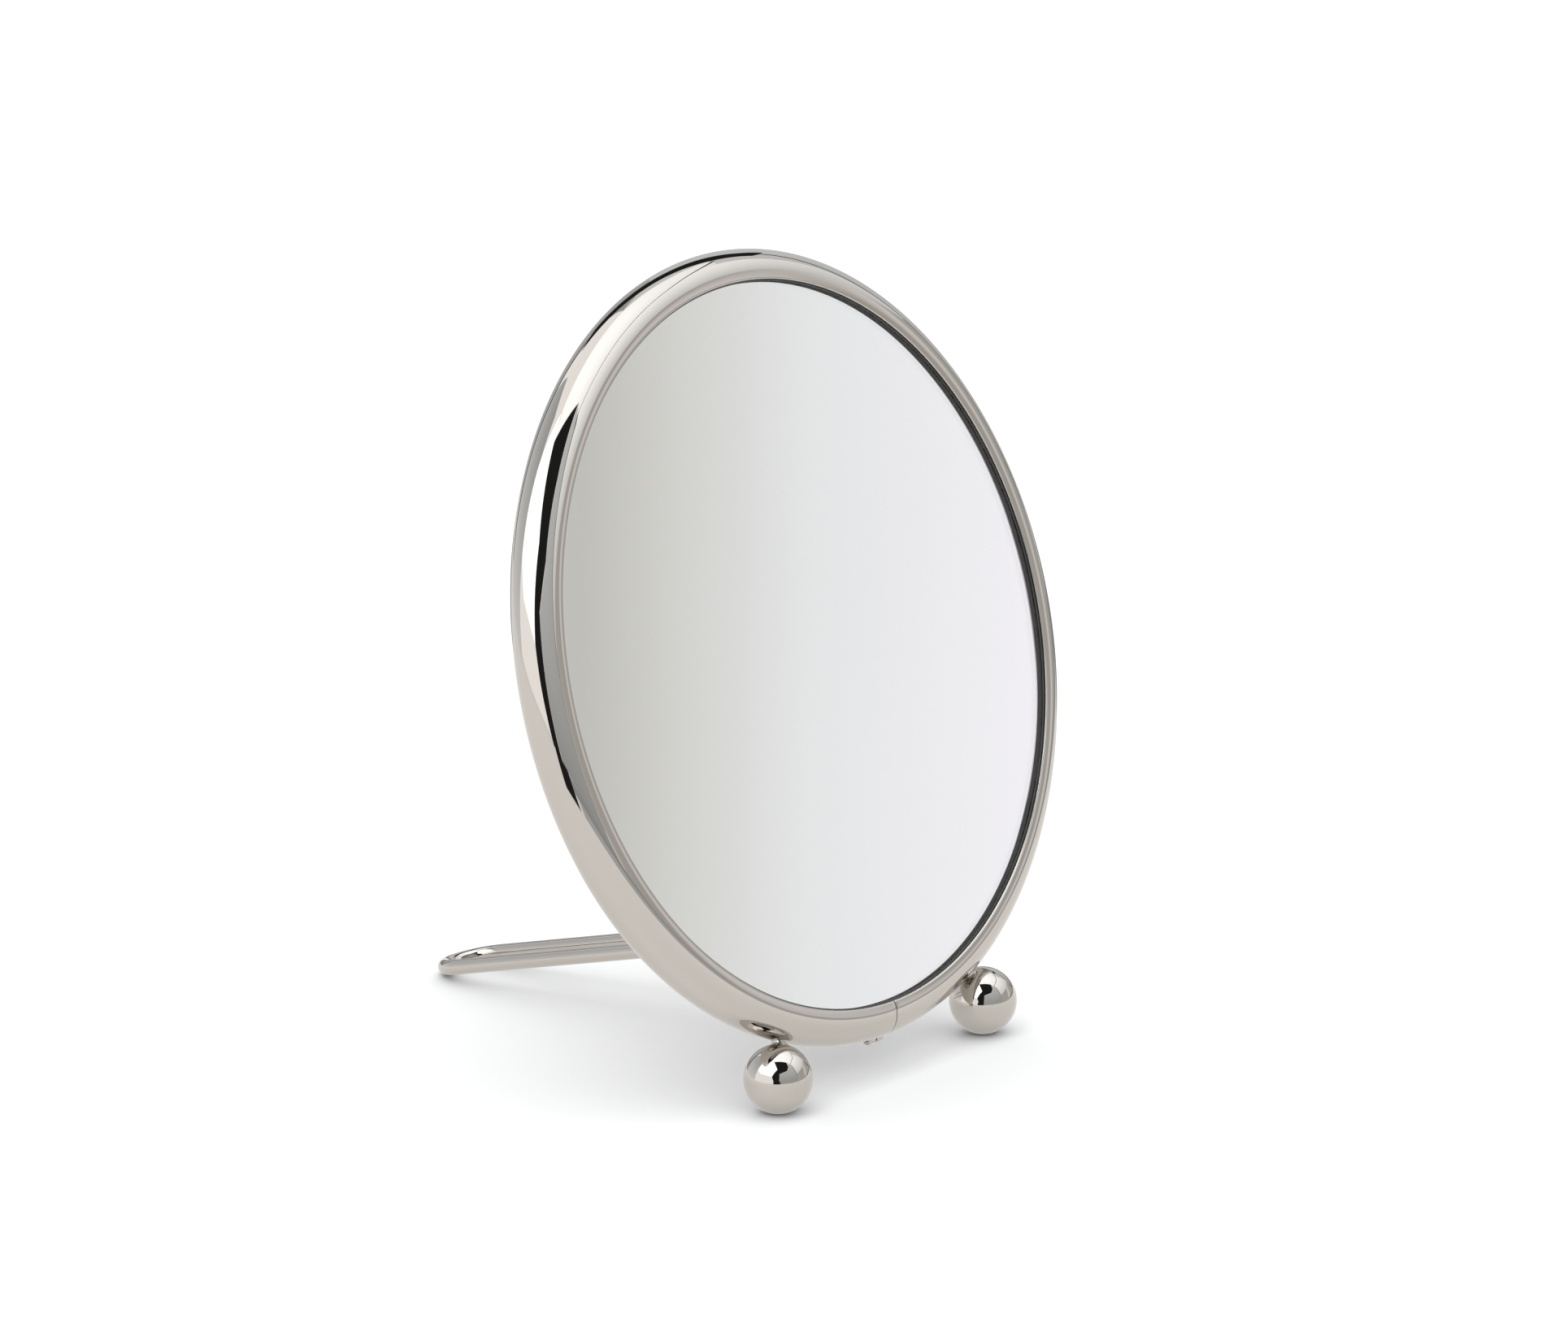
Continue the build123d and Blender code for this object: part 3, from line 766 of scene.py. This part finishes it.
def clamp_lug(side, clamp):
    node = "clamp_lug_" + side
    span = Span(node, clamp)
    screw = Span("clamp_screw", clamp)
    radius = span.radius[1]
    low, high = span.z
    if side == "left":
        shank = CLAMP_SHANK_RADIUS + CLEARANCE
        bore = screw.radius[1] + CLEARANCE
        floor = screw.z[0] + CLAMP_HEAD_LENGTH
        profile = [(shank, high), (radius, high), (radius, low)]
        profile += [(bore, low), (bore, floor), (shank, floor)]
        lug = lathe(node, clamp, softened(profile, FINE_EDGE), segments=64)
    else:
        profile = [(0, low), (radius, low), (radius, high), (0, high)]
        lug = turned(node, clamp, profile, FINE_EDGE, 64)
    return combine(lug, tube_skin("seat"), "DIFFERENCE")


def clamp_screw(clamp):
    """Socket screw: head in the left lug, shank across the gap into the right one."""
    span = Span("clamp_screw", clamp)
    low, high = span.z
    head = span.radius[1]
    shank = CLAMP_SHANK_RADIUS
    seat = low + CLAMP_HEAD_LENGTH
    profile = [(0, low), (head, low), (head, seat), (shank, seat), (shank, high), (0, high)]
    screw = turned("clamp_screw", clamp, profile, CLAMP_HEAD_ROUNDING, 48)
    hexagon = circle_points(CLAMP_SOCKET_FLATS / math.sqrt(3), 6)
    rings = []
    for z in (low - CUT_THROUGH, low + CLAMP_SOCKET_DEPTH):
        rings.append([clamp.at(x, y, z) for x, y in hexagon])
    return combine(screw, loft("socket", rings), "DIFFERENCE")


def build_ring():
    fit(frame_ring(), "frame_ring", "polished_nickel")
    clamp = clamp_frame()
    for side in ("left", "right"):
        fit(clamp_lug(side, clamp), "clamp_lug_" + side, "polished_nickel")
    fit(clamp_screw(clamp), "clamp_screw", "nickel_hardware")


# ---- mirror pack
def round_sheet(node, holes=()):
    """Flat disc of the pack, with round (x, v, radius) holes."""
    span = Span(node, HEAD)
    low, high = span.z
    thickness = high - low
    outline = circle_points(span.radius[1], 360)
    openings = [circle_points(radius, 48, (x, v)) for x, v, radius in holes]
    edge = min(FINE_EDGE, thickness / 4)
    return sheet(node, HEAD.moved(0, 0, low), outline, openings, thickness, edge)


def mirror_glass():
    span = Span("mirror_glass", HEAD)
    low, high = span.z
    low += SILVER_CLEARANCE
    edge = span.radius[1]
    profile = [(0, low), (edge, low), (edge, high), (0, high)]
    return turned("mirror_glass", HEAD, profile, GLASS_ROUNDING, 360)


def edge_gasket():
    """Band round the glass with a thin lip over its front."""
    span = Span("edge_gasket", HEAD)
    glass = Span("mirror_glass", HEAD)
    inner, outer = span.radius
    low, high = span.z
    seat = glass.radius[1] + SEAT_GAP
    lip = glass.z[1] + SEAT_GAP
    profile = [(seat, low), (outer, low), (outer, high), (inner, high), (inner, lip), (seat, lip)]
    return lathe("edge_gasket", HEAD, softened(profile, GASKET_ROUNDING), segments=360)


def retaining_ring():
    span = Span("retaining_ring", HEAD)
    profile = softened(rectangle(*span.radius, *span.z), RETAINER_ROUNDING)
    return lathe("retaining_ring", HEAD, profile, segments=360)


def build_pack():
    fit(mirror_glass(), "mirror_glass", "clear_glass")
    fit(round_sheet("silver_layer"), "silver_layer", "silvering")
    pad_holes = [(x, PIVOT_V + v, PAD_HOLE_RADIUS) for x, v in RIVET_PLACES]
    fit(round_sheet("backing_pad", pad_holes), "backing_pad", "felt")
    plate_holes = [(x, PIVOT_V + v, RIVET_SHANK_RADIUS) for x, v in RIVET_PLACES]
    fit(round_sheet("back_plate", plate_holes), "back_plate", "satin_nickel_plate")
    fit(edge_gasket(), "edge_gasket", "black_rubber")
    fit(retaining_ring(), "retaining_ring", "black_rubber")


# ---- ball feet
def ball_foot(side, count=120, edge_steps=5):
    """Ball with a small turned flat on the table, its edge eased."""
    node = "ball_foot_" + side
    place = Frame(BALL_CENTRES[side], X_AXIS, (0, 1, 0))
    flat_drop = BALL_CENTRES[side].z / MM
    flat_radius = math.sqrt(BALL_RADIUS**2 - flat_drop**2)
    last = math.acos(-flat_drop / BALL_RADIUS) - BALL_FLAT_EASE / BALL_RADIUS
    profile = []
    for i in range(count + 1):
        angle = last * i / count
        profile.append((BALL_RADIUS * math.sin(angle), BALL_RADIUS * math.cos(angle)))
    edge = Vector((flat_radius, -flat_drop))
    start = Vector(profile[-1])
    end = Vector((flat_radius - BALL_FLAT_EASE, -flat_drop))
    for k in range(1, edge_steps + 1):
        t = k / edge_steps
        profile.append(tuple(start * (1 - t) ** 2 + edge * 2 * t * (1 - t) + end * t**2))
    profile.append((0, -flat_drop))
    return lathe(node, place, profile, closed=False, segments=192)


def foot_frame(side):
    """Frame on the ring's centre whose z points at a ball's centre."""
    out = BALL_CENTRES[side] - RING_CENTRE
    return Frame(RING_CENTRE, HEAD.z, out.cross(HEAD.z))


def foot_stud(side, steps=16):
    """Threaded stud with a waisted shoulder between tube and ball."""
    place = foot_frame(side)
    stud = Span("foot_studs", place, within=5.0)
    tube_skin_at = RING_RADIUS + TUBE_RADIUS
    ball_at = (BALL_CENTRES[side] - RING_CENTRE).length / MM - BALL_RADIUS
    centre = middle((tube_skin_at, ball_at))
    reach = SHOULDER_HALF_LENGTH
    profile = [(0, centre - reach)]
    for i in range(steps + 1):
        t = 2 * i / steps - 1
        profile.append((SHOULDER_WAIST_RADIUS + SHOULDER_FLARE * t**4, centre + reach * t))
    profile.append((0, centre + reach))
    shoulder = lathe("shoulder_" + side, place, profile, closed=False, segments=96)
    thread = threaded_rod("thread_" + side, place, M4_RADIUS, *stud.z)
    return [shoulder, thread]


def foot_nut(side):
    place = foot_frame(side)
    low, high = Span("foot_nuts", place, within=5.0).z
    return hex_nut("foot_nut_" + side, place, M4_NUT_FLATS, M4_RADIUS, low, high - low)


def build_feet():
    for side in ("left", "right"):
        fit(ball_foot(side), "ball_foot_" + side, "polished_nickel")
    studs = [solid for side in ("left", "right") for solid in foot_stud(side)]
    fit(joined("foot_studs", studs), "foot_studs", "polished_nickel")
    nuts = [foot_nut(side) for side in ("left", "right")]
    fit(joined("foot_nuts", nuts), "foot_nuts", "zinc_steel")


# ---- hinge
def ear_outline(bracket, pin):
    """Outline of one ear in the hinge frame, from the base round the pivot and the stop pin."""
    base = bracket.y[1] - EAR_ROOT
    points = circle_points(EAR_RADIUS, 64)
    points += circle_points(STOP_EAR_RADIUS, 48, pin)
    points += [(-EAR_RADIUS, base), (EAR_RADIUS, base)]
    order = geometry.convex_hull_2d(points)
    return [points[i] for i in order]


def hinge_bracket():
    bracket = Span("hinge_bracket", HINGE)
    stop = Span("stop_pin", HINGE)
    pin = (middle(stop.x), middle(stop.y))
    base_top = bracket.y[1]
    base_place = Frame(HEAD.at(0, PIVOT_V, PIVOT_W + base_top), HEAD.x, -HEAD.y)
    holes = [circle_points(RIVET_SHANK_RADIUS, 32, place) for place in RIVET_PLACES]
    width = bracket.z[1] - bracket.z[0]
    outline = rounded_rectangle(width, BRACKET_HEIGHT, BRACKET_CORNER_RADIUS)
    body = sheet("hinge_bracket", base_place, outline, holes, BRACKET_SHEET, BRACKET_EDGE)
    ear_holes = [circle_points(M4_HOLE_RADIUS, 48), circle_points(STOP_PIN_RADIUS, 32, pin)]
    for start in EAR_STARTS:
        place = HINGE.moved(0, 0, start)
        outline = ear_outline(bracket, pin)
        ear = sheet("ear", place, outline, ear_holes, BRACKET_SHEET, BRACKET_EDGE)
        body = combine(body, ear, "UNION")
    return body


def bracket_rivets(steps=12):
    """Domed heads outside, flat upset heads inside the pad."""
    span = Span("bracket_rivets", HEAD)
    dome_top, inner_head = span.z
    base_back = dome_top + RIVET_DOME_HEIGHT
    plate_front = inner_head - RIVET_UPSET_HEIGHT
    head = RIVET_HEAD_RADIUS
    shank = RIVET_SHANK_RADIUS
    bulge = (head**2 + RIVET_DOME_HEIGHT**2) / (2 * RIVET_DOME_HEIGHT)
    profile = []
    for i in range(steps + 1):
        r = head * i / steps
        rise = bulge - math.sqrt(bulge**2 - r**2)
        profile.append((r, dome_top + rise))
    profile += [(shank, base_back), (shank, plate_front), (head, plate_front)]
    profile += [(head, inner_head), (0, inner_head)]
    rivets = []
    for x, v in RIVET_PLACES:
        place = HEAD.moved(x, PIVOT_V + v, 0)
        rivets.append(lathe("rivet", place, profile, closed=False, segments=48))
    return joined("bracket_rivets", rivets)


def hinge_screw():
    """Cheese-head pivot screw with a slot, a plain shank and a threaded end."""
    span = Span("hinge_screw", HINGE)
    low, high = span.z
    head = span.radius[1]
    head_back = low + PIVOT_HEAD_HEIGHT
    profile = [(0, low), (head, low), (head, head_back), (M4_RADIUS, head_back)]
    profile += [(M4_RADIUS, PIVOT_THREAD_START), (0, PIVOT_THREAD_START)]
    screw = turned("hinge_screw", HINGE, profile, PIVOT_HEAD_ROUNDING, 96)
    half = PIVOT_SLOT_HALF_WIDTH
    corners = rectangle(-half, half, low - CUT_THROUGH, low + PIVOT_SLOT_DEPTH)
    slot = []
    for x in (-PIVOT_SLOT_HALF_LENGTH, PIVOT_SLOT_HALF_LENGTH):
        slot.append([HINGE.at(x, y, z) for y, z in corners])
    screw = combine(screw, loft("slot", slot), "DIFFERENCE")
    thread = threaded_rod("thread", HINGE, M4_RADIUS, PIVOT_THREAD_START - PIVOT_THREAD_LAP, high)
    return joined("hinge_screw", [screw, thread])


def stop_pin():
    """Plain pin with two low peened heads."""
    span = Span("stop_pin", HINGE)
    place = HINGE.moved(middle(span.x), middle(span.y), 0)
    low, high = span.z
    pin = STOP_PIN_RADIUS
    head = STOP_HEAD_RADIUS
    rise = STOP_HEAD_HEIGHT
    profile = [(0, low), (head, low), (head, low + rise), (pin, low + rise)]
    profile += [(pin, high - rise), (head, high - rise), (head, high), (0, high)]
    return turned("stop_pin", place, profile, STOP_HEAD_ROUNDING, 64)


def friction_washers():
    washers = []
    for low in WASHER_STARTS:
        profile = rectangle(M4_HOLE_RADIUS, WASHER_RADIUS, low, low + WASHER_THICKNESS)
        washers.append(lathe("washer", HINGE, softened(profile, FINE_EDGE), segments=72))
    return joined("friction_washers", washers)


def spring_washer():
    low, high = Span("spring_washer", HINGE).z
    inner_low = high - SPRING_WASHER_SHEET
    outer_high = low + SPRING_WASHER_SHEET
    profile = [(M4_HOLE_RADIUS, inner_low), (WASHER_RADIUS, low)]
    profile += [(WASHER_RADIUS, outer_high), (M4_HOLE_RADIUS, high)]
    return lathe("spring_washer", HINGE, softened(profile, SPRING_WASHER_ROUNDING), segments=96)


def hinge_nut():
    low, high = Span("hinge_nut", HINGE).z
    return hex_nut("hinge_nut", HINGE, M4_NUT_FLATS, M4_RADIUS, low, high - low)


def build_hinge():
    fit(hinge_bracket(), "hinge_bracket", "nickel_hardware")
    fit(bracket_rivets(), "bracket_rivets", "nickel_hardware")
    fit(hinge_screw(), "hinge_screw", "nickel_hardware")
    fit(stop_pin(), "stop_pin", "nickel_hardware")
    fit(hinge_nut(), "hinge_nut", "nickel_hardware")
    fit(friction_washers(), "friction_washers", "fibre")
    fit(spring_washer(), "spring_washer", "zinc_steel")


# ---- prop
def prop_barrel():
    span = Span("prop_barrel", HINGE)
    profile = rectangle(M4_HOLE_RADIUS, span.radius[1], *span.z)
    return lathe("prop_barrel", HINGE, softened(profile, BARREL_ROUNDING), segments=128)


def prop_loop(leg_steps=60, bend_steps=96):
    """One rod bent into a long U, flared a little where it is brazed to the barrel."""
    barrel = Span("prop_barrel", HINGE).radius[1]
    half = LEG_SPACING / 2
    start = barrel - ROD_SUNK
    bend_start = PROP_LENGTH - half
    leg = []
    for i in range(leg_steps):
        leg.append(start + (bend_start - start) * (i / leg_steps) ** 2)
    path = [(-half, y) for y in leg]
    for i in range(bend_steps + 1):
        angle = math.pi * i / bend_steps
        path.append((-half * math.cos(angle), bend_start + half * math.sin(angle)))
    path += [(half, y) for y in reversed(leg)]
    radii = []
    for _, y in path:
        near = max(0.0, 1 - (y - start) / BRAZE_LENGTH)
        radii.append(ROD_RADIUS + BRAZE_FLARE * near**2)
    return rod_along("prop_loop", PROP, path, radii, segments=64)


def build_prop():
    fit(prop_barrel(), "prop_barrel", "polished_nickel", body="prop")
    fit(prop_loop(), "prop_loop", "polished_nickel", body="prop")


# ---- CAD nodes that stay
KEPT = {
    "joint_spigot": "zinc_steel",
    "foot_saddle_washers": "zinc_steel",
}


def dress_kept_nodes():
    for node, slot in KEPT.items():
        dress(frame["nodes"][node], slot)


# ---- studio
def direction(azimuth, elevation):
    """Unit vector at an azimuth (0 in front of the mirror, growing to the right) and height."""
    a = math.radians(azimuth)
    e = math.radians(elevation)
    return Vector((math.sin(a) * math.cos(e), -math.cos(a) * math.cos(e), math.sin(e)))


def glow(name, source, stops):
    """Lamp-like material whose tone follows a value; stops are (value, tone) pairs."""
    material = bpy.data.materials.new(name)
    material.use_nodes = True
    tree = material.node_tree
    tree.nodes.clear()
    first, last = stops[0][0], stops[-1][0]
    reach = tree.nodes.new("ShaderNodeMapRange")
    reach.inputs["From Min"].default_value = first
    reach.inputs["From Max"].default_value = last
    tree.links.new(source(tree), reach.inputs["Value"])
    ramp = tree.nodes.new("ShaderNodeValToRGB")
    while len(ramp.color_ramp.elements) < len(stops):
        ramp.color_ramp.elements.new(0.5)
    for element, (value, tone) in zip(ramp.color_ramp.elements, stops):
        element.position = (value - first) / (last - first)
        element.color = (*tone, 1)
    tree.links.new(reach.outputs["Result"], ramp.inputs["Fac"])
    light = tree.nodes.new("ShaderNodeEmission")
    tree.links.new(ramp.outputs["Color"], light.inputs["Color"])
    output = tree.nodes.new("ShaderNodeOutputMaterial")
    tree.links.new(light.outputs[0], output.inputs["Surface"])
    return material


def height_source(tree):
    """Height within a card's own box, from 0 to 1."""
    coordinates = tree.nodes.new("ShaderNodeTexCoord")
    split = tree.nodes.new("ShaderNodeSeparateXYZ")
    tree.links.new(coordinates.outputs["Generated"], split.inputs[0])
    return split.outputs["Z"]


def reflector(name, points, faces, material):
    """Studio surface that shows only in reflections."""
    mesh = bpy.data.meshes.new(name)
    mesh.from_pydata(points, [], faces)
    mesh.materials.append(material)
    piece = placed(bpy.data.objects.new(name, mesh))
    piece.visible_camera = False
    piece.visible_diffuse = False
    piece.visible_shadow = False


def grey(tone):
    return (tone * 0.965, tone, tone * 1.03)


def card(name, corners, low, high, distance=CARD_DISTANCE):
    """Panel on a dome round the ring, with (azimuth, height) corners and tones below and above."""
    away = [direction(a, e) for a, e in corners]
    facing = sum(away, Vector()).normalized()
    shape = bmesh.new()
    face = shape.faces.new([shape.verts.new(point / point.dot(facing)) for point in away])
    bmesh.ops.triangulate(shape, faces=[face])
    bmesh.ops.subdivide_edges(shape, edges=shape.edges, cuts=10, use_grid_fill=True)
    points = [RING_CENTRE + vert.co.normalized() * distance * MM for vert in shape.verts]
    shape.verts.index_update()
    faces = [[vert.index for vert in face.verts] for face in shape.faces]
    shape.free()
    stops = [(0.0, grey(low)), (1.0, grey(high))]
    reflector(name, points, faces, glow(name, height_source, stops))


def band(name, points, tone):
    """Strip of one tone over a row of point pairs."""
    faces = [(i, i + 1, i + 3, i + 2) for i in range(0, len(points) - 2, 2)]
    stops = [(0.0, grey(tone)), (1.0, grey(tone))]
    reflector(name, points, faces, glow(name, height_source, stops))


def ribbon(name, corners, width, tone, distance=0.96 * CARD_DISTANCE):
    """Narrow band through (azimuth, height) corners, a little nearer than the panels."""
    away = [direction(a, e) for a, e in corners]
    points = []
    for i, point in enumerate(away):
        along = away[min(i + 1, len(away) - 1)] - away[max(i - 1, 0)]
        side = along.cross(point).normalized() * math.radians(width) / 2
        for edge in (point - side, point + side):
            points.append(RING_CENTRE + edge * distance * MM)
    band(name, points, tone)


def skirt(name, azimuths, distance, height, tone):
    """Low band standing on the table at a distance, where the white table ends."""
    points = []
    for azimuth in azimuths:
        foot = RING_CENTRE + direction(azimuth, 0) * distance * MM
        points += [Vector((foot.x, foot.y, z * MM)) for z in (SKIRT_FOOT, height)]
    band(name, points, tone)


def wall():
    """Soft pale wall that the mirror looks at: greyer to one side, and brighter higher up."""
    centre = RING_CENTRE + direction(WALL_AZIMUTH, WALL_ELEVATION) * WALL_DISTANCE * MM
    facing = (RING_CENTRE - centre).normalized()
    place = Frame(centre, Vector((0, 0, 1)).cross(facing), Vector((0, 0, 1)))
    axes = placed(bpy.data.objects.new("wall_axes", None))
    axes.matrix_world = place.matrix()

    def across_source(tree):
        """Distance across the wall in the direction that the leaning mirror turns level."""
        coordinates = tree.nodes.new("ShaderNodeTexCoord")
        coordinates.object = axes
        slant = tree.nodes.new("ShaderNodeVectorMath")
        slant.operation = "DOT_PRODUCT"
        slant.inputs[1].default_value = (-0.91, -0.415, 0)
        tree.links.new(coordinates.outputs["Object"], slant.inputs[0])
        return slant.outputs["Value"]

    stops = [
        (-0.900, (0.60, 0.60, 0.58)),
        (-0.118, (0.555, 0.545, 0.52)),
        (-0.075, (0.67, 0.66, 0.635)),
        (0.000, (0.825, 0.83, 0.84)),
        (0.110, (0.935, 0.91, 0.955)),
        (0.160, (0.93, 0.92, 0.93)),
        (0.330, (0.62, 0.62, 0.60)),
        (0.900, (0.50, 0.50, 0.49)),
    ]
    corners = [(-1000.0, -300.0), (950.0, -300.0), (950.0, 330.0), (-1000.0, 330.0)]
    points = [place.at(x, y, 0) for x, y in corners]
    reflector("wall", points, [(0, 1, 2, 3)], glow("wall", across_source, stops))


def cards():
    """Panels round the mirror: a white tent over it, open to a dark room beside the camera.
    Each panel has its tones below and above, and each edge its width in degrees and its tone,
    before the (azimuth, height) corners."""
    dark = 0.02
    panels = {
        "dark_room_high": (
            dark, dark, [(-85, 69), (8, 61), (-2, 46), (-16, 36), (-46, 30), (-67, 32), (-55, 45)],
        ),
        "dark_room_low": (
            dark, dark, [(-67, 32), (-46, 30), (-48, 5), (-50, -12), (-62, -12), (-66, 4), (-73, 20)],
        ),
        "left_softbox": (
            2.2, 2.2, [(-124, 72), (-85, 69), (-55, 45), (-67, 32), (-74, 20),
                       (-115, 20), (-133, 24), (-144, 31), (-136, 50)],
        ),
        "top_softbox": (
            1.4, 1.9, [(-124, 74), (-85, 69.5), (8, 61.5), (14, 50), (62, 50),
                       (99, 44), (109, 56), (138, 64)],
        ),
        "grey_panel": (
            0.46, 0.85, [(-46, 29.5), (-16, 35.5), (-2, 45.5), (8, 59), (16, 50),
                         (18, 43), (17, -3), (-48, -3)],
        ),
        "upper_wall": (0.85, 1.6, [(17, 14), (17, 50), (62, 50), (80, 47), (80, 14)]),
        "left_wall": (
            0.95, 0.5, [(-133, -3), (-133, 24), (-144, 31), (-136, 50), (-150, 58),
                        (178, 44), (169, 22), (178, 4), (179, -3)],
        ),
        "right_wall": (
            0.60, 1.0, [(82, -3), (82, 44), (104, 44), (109, 55), (138, 62), (140, -3)],
        ),
        "back_wall": (0.6, 0.5, [(140, -3), (138, 62), (158, 36), (169, 20), (178, -3)]),
    }
    for name, (low, high, corners) in panels.items():
        card(name, corners, low, high)

    edges = {
        "tent_edge_right": (2.5, dark, [(91, -1), (86, 4), (84, 12), (87, 19), (93, 25), (103, 32)]),
        "tent_edge_top": (
            15.0, dark, [(103, 32), (108, 38), (120, 41), (135, 42), (150, 38), (160, 32)],
        ),
        "tent_edge_left": (4.0, dark, [(160, 32), (169, 20), (174, 8), (176, -2)]),
        "panel_join": (1.2, 0.05, [(17, 2), (18, 43), (15, 50), (42, 53), (62, 50), (99, 44)]),
    }
    for name, (width, tone, corners) in edges.items():
        ribbon(name, corners, width, tone)

    skirt("far_table_edge", range(-46, 120, 6), 1000.0, 72.0, 0.42)
    skirt("middle_table_edge", range(-40, 60, 6), 620.0, 48.0, 0.60)
    skirt("near_table_edge", range(-66, -45, 4), 590.0, 100.0, dark)
    skirt("back_table_edge", range(88, 176, 6), 560.0, 90.0, 0.3)


def world():
    scene_world = bpy.data.worlds.new("studio")
    bpy.context.scene.world = scene_world
    scene_world.use_nodes = True
    back = scene_world.node_tree.nodes["Background"]
    back.inputs["Color"].default_value = (0.97, 0.975, 0.98, 1)
    back.inputs["Strength"].default_value = SKY_STRENGTH


def floor():
    """Plain pale floor. It follows the prop's tip down when the prop swings below the feet,
    so that the object hangs clear of it, and never rises above the feet."""
    tip = placed(bpy.data.objects.new("prop_tip", None))
    tip.location = TIP
    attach(tip, "prop")

    half = FLOOR_SIZE / 2 * MM
    drop = -ROD_RADIUS * MM
    corners = [(-half, -half, drop), (half, -half, drop), (half, half, drop), (-half, half, drop)]
    mesh = bpy.data.meshes.new("floor")
    mesh.from_pydata(corners, [], [(0, 1, 2, 3)])
    piece = placed(bpy.data.objects.new("floor", mesh))
    follow = piece.constraints.new("COPY_LOCATION")
    follow.target = tip
    follow.use_x = False
    follow.use_y = False
    cap = piece.constraints.new("LIMIT_LOCATION")
    cap.use_max_z = True
    cap.max_z = ROD_RADIUS * MM

    mesh.materials.append(floor_paper())


def floor_paper():
    """Pale matt paper. Polished pieces see it evenly lit, as under a wide overhead light."""
    material = bpy.data.materials.new("floor")
    material.use_nodes = True
    tree = material.node_tree
    paper = tree.nodes["Principled BSDF"]
    paper.inputs["Roughness"].default_value = 0.9
    paper.inputs["Specular IOR Level"].default_value = 0.1
    path = tree.nodes.new("ShaderNodeLightPath")
    tones = tree.nodes.new("ShaderNodeMix")
    tones.data_type = "RGBA"
    tones.inputs[6].default_value = (0.82, 0.815, 0.80, 1)
    tones.inputs[7].default_value = (0.93, 0.93, 0.925, 1)
    tree.links.new(path.outputs["Is Camera Ray"], tones.inputs[0])
    tree.links.new(tones.outputs[2], paper.inputs["Base Color"])
    even = tree.nodes.new("ShaderNodeEmission")
    even.inputs["Color"].default_value = (0.96, 0.955, 0.945, 1)
    share = tree.nodes.new("ShaderNodeMath")
    share.operation = "MULTIPLY"
    share.inputs[1].default_value = FLOOR_EVENNESS
    tree.links.new(path.outputs["Is Glossy Ray"], share.inputs[0])
    blend = tree.nodes.new("ShaderNodeMixShader")
    tree.links.new(share.outputs[0], blend.inputs[0])
    tree.links.new(paper.outputs[0], blend.inputs[1])
    tree.links.new(even.outputs[0], blend.inputs[2])
    tree.links.new(blend.outputs[0], tree.nodes["Material Output"].inputs["Surface"])
    return material


def key_light():
    """Large soft light over the left shoulder of the camera."""
    data = bpy.data.lights.new("key", "AREA")
    data.shape = "RECTANGLE"
    data.size, data.size_y = KEY_SIZE
    data.energy = KEY_ENERGY
    lamp = placed(bpy.data.objects.new("key", data))
    lamp.location = RING_CENTRE + direction(KEY_AZIMUTH, KEY_ELEVATION) * KEY_DISTANCE * MM
    lamp.rotation_mode = "QUATERNION"
    lamp.rotation_quaternion = (RING_CENTRE - lamp.location).to_track_quat("-Z", "Y")
    lamp.visible_glossy = False
    lamp.visible_transmission = False


def camera():
    back = direction(VIEW_AZIMUTH, VIEW_ELEVATION)
    right = Vector((0, 0, 1)).cross(back).normalized()
    up = back.cross(right)
    data = bpy.data.cameras.new("camera")
    data.lens = LENS
    data.sensor_width = SENSOR_WIDTH
    data.clip_start = 0.01
    data.clip_end = 100.0
    eye = placed(bpy.data.objects.new("camera", data))
    offset = back * VIEW_DISTANCE + right * AIM_RIGHT + up * AIM_UP
    eye.location = RING_CENTRE + offset * MM
    eye.rotation_mode = "QUATERNION"
    eye.rotation_quaternion = (-back).to_track_quat("-Z", "Y")
    bpy.context.scene.camera = eye


def light_paths():
    """Enough bounces for glass over silver, and plain colours."""
    scene = bpy.context.scene
    scene.view_settings.view_transform = "Standard"
    scene.cycles.max_bounces = 16
    scene.cycles.glossy_bounces = 12
    scene.cycles.transmission_bounces = 12
    scene.cycles.caustics_reflective = False
    scene.cycles.caustics_refractive = False


build_ring()
build_pack()
build_feet()
build_hinge()
build_prop()
dress_kept_nodes()
world()
floor()
cards()
wall()
key_light()
camera()
light_paths()
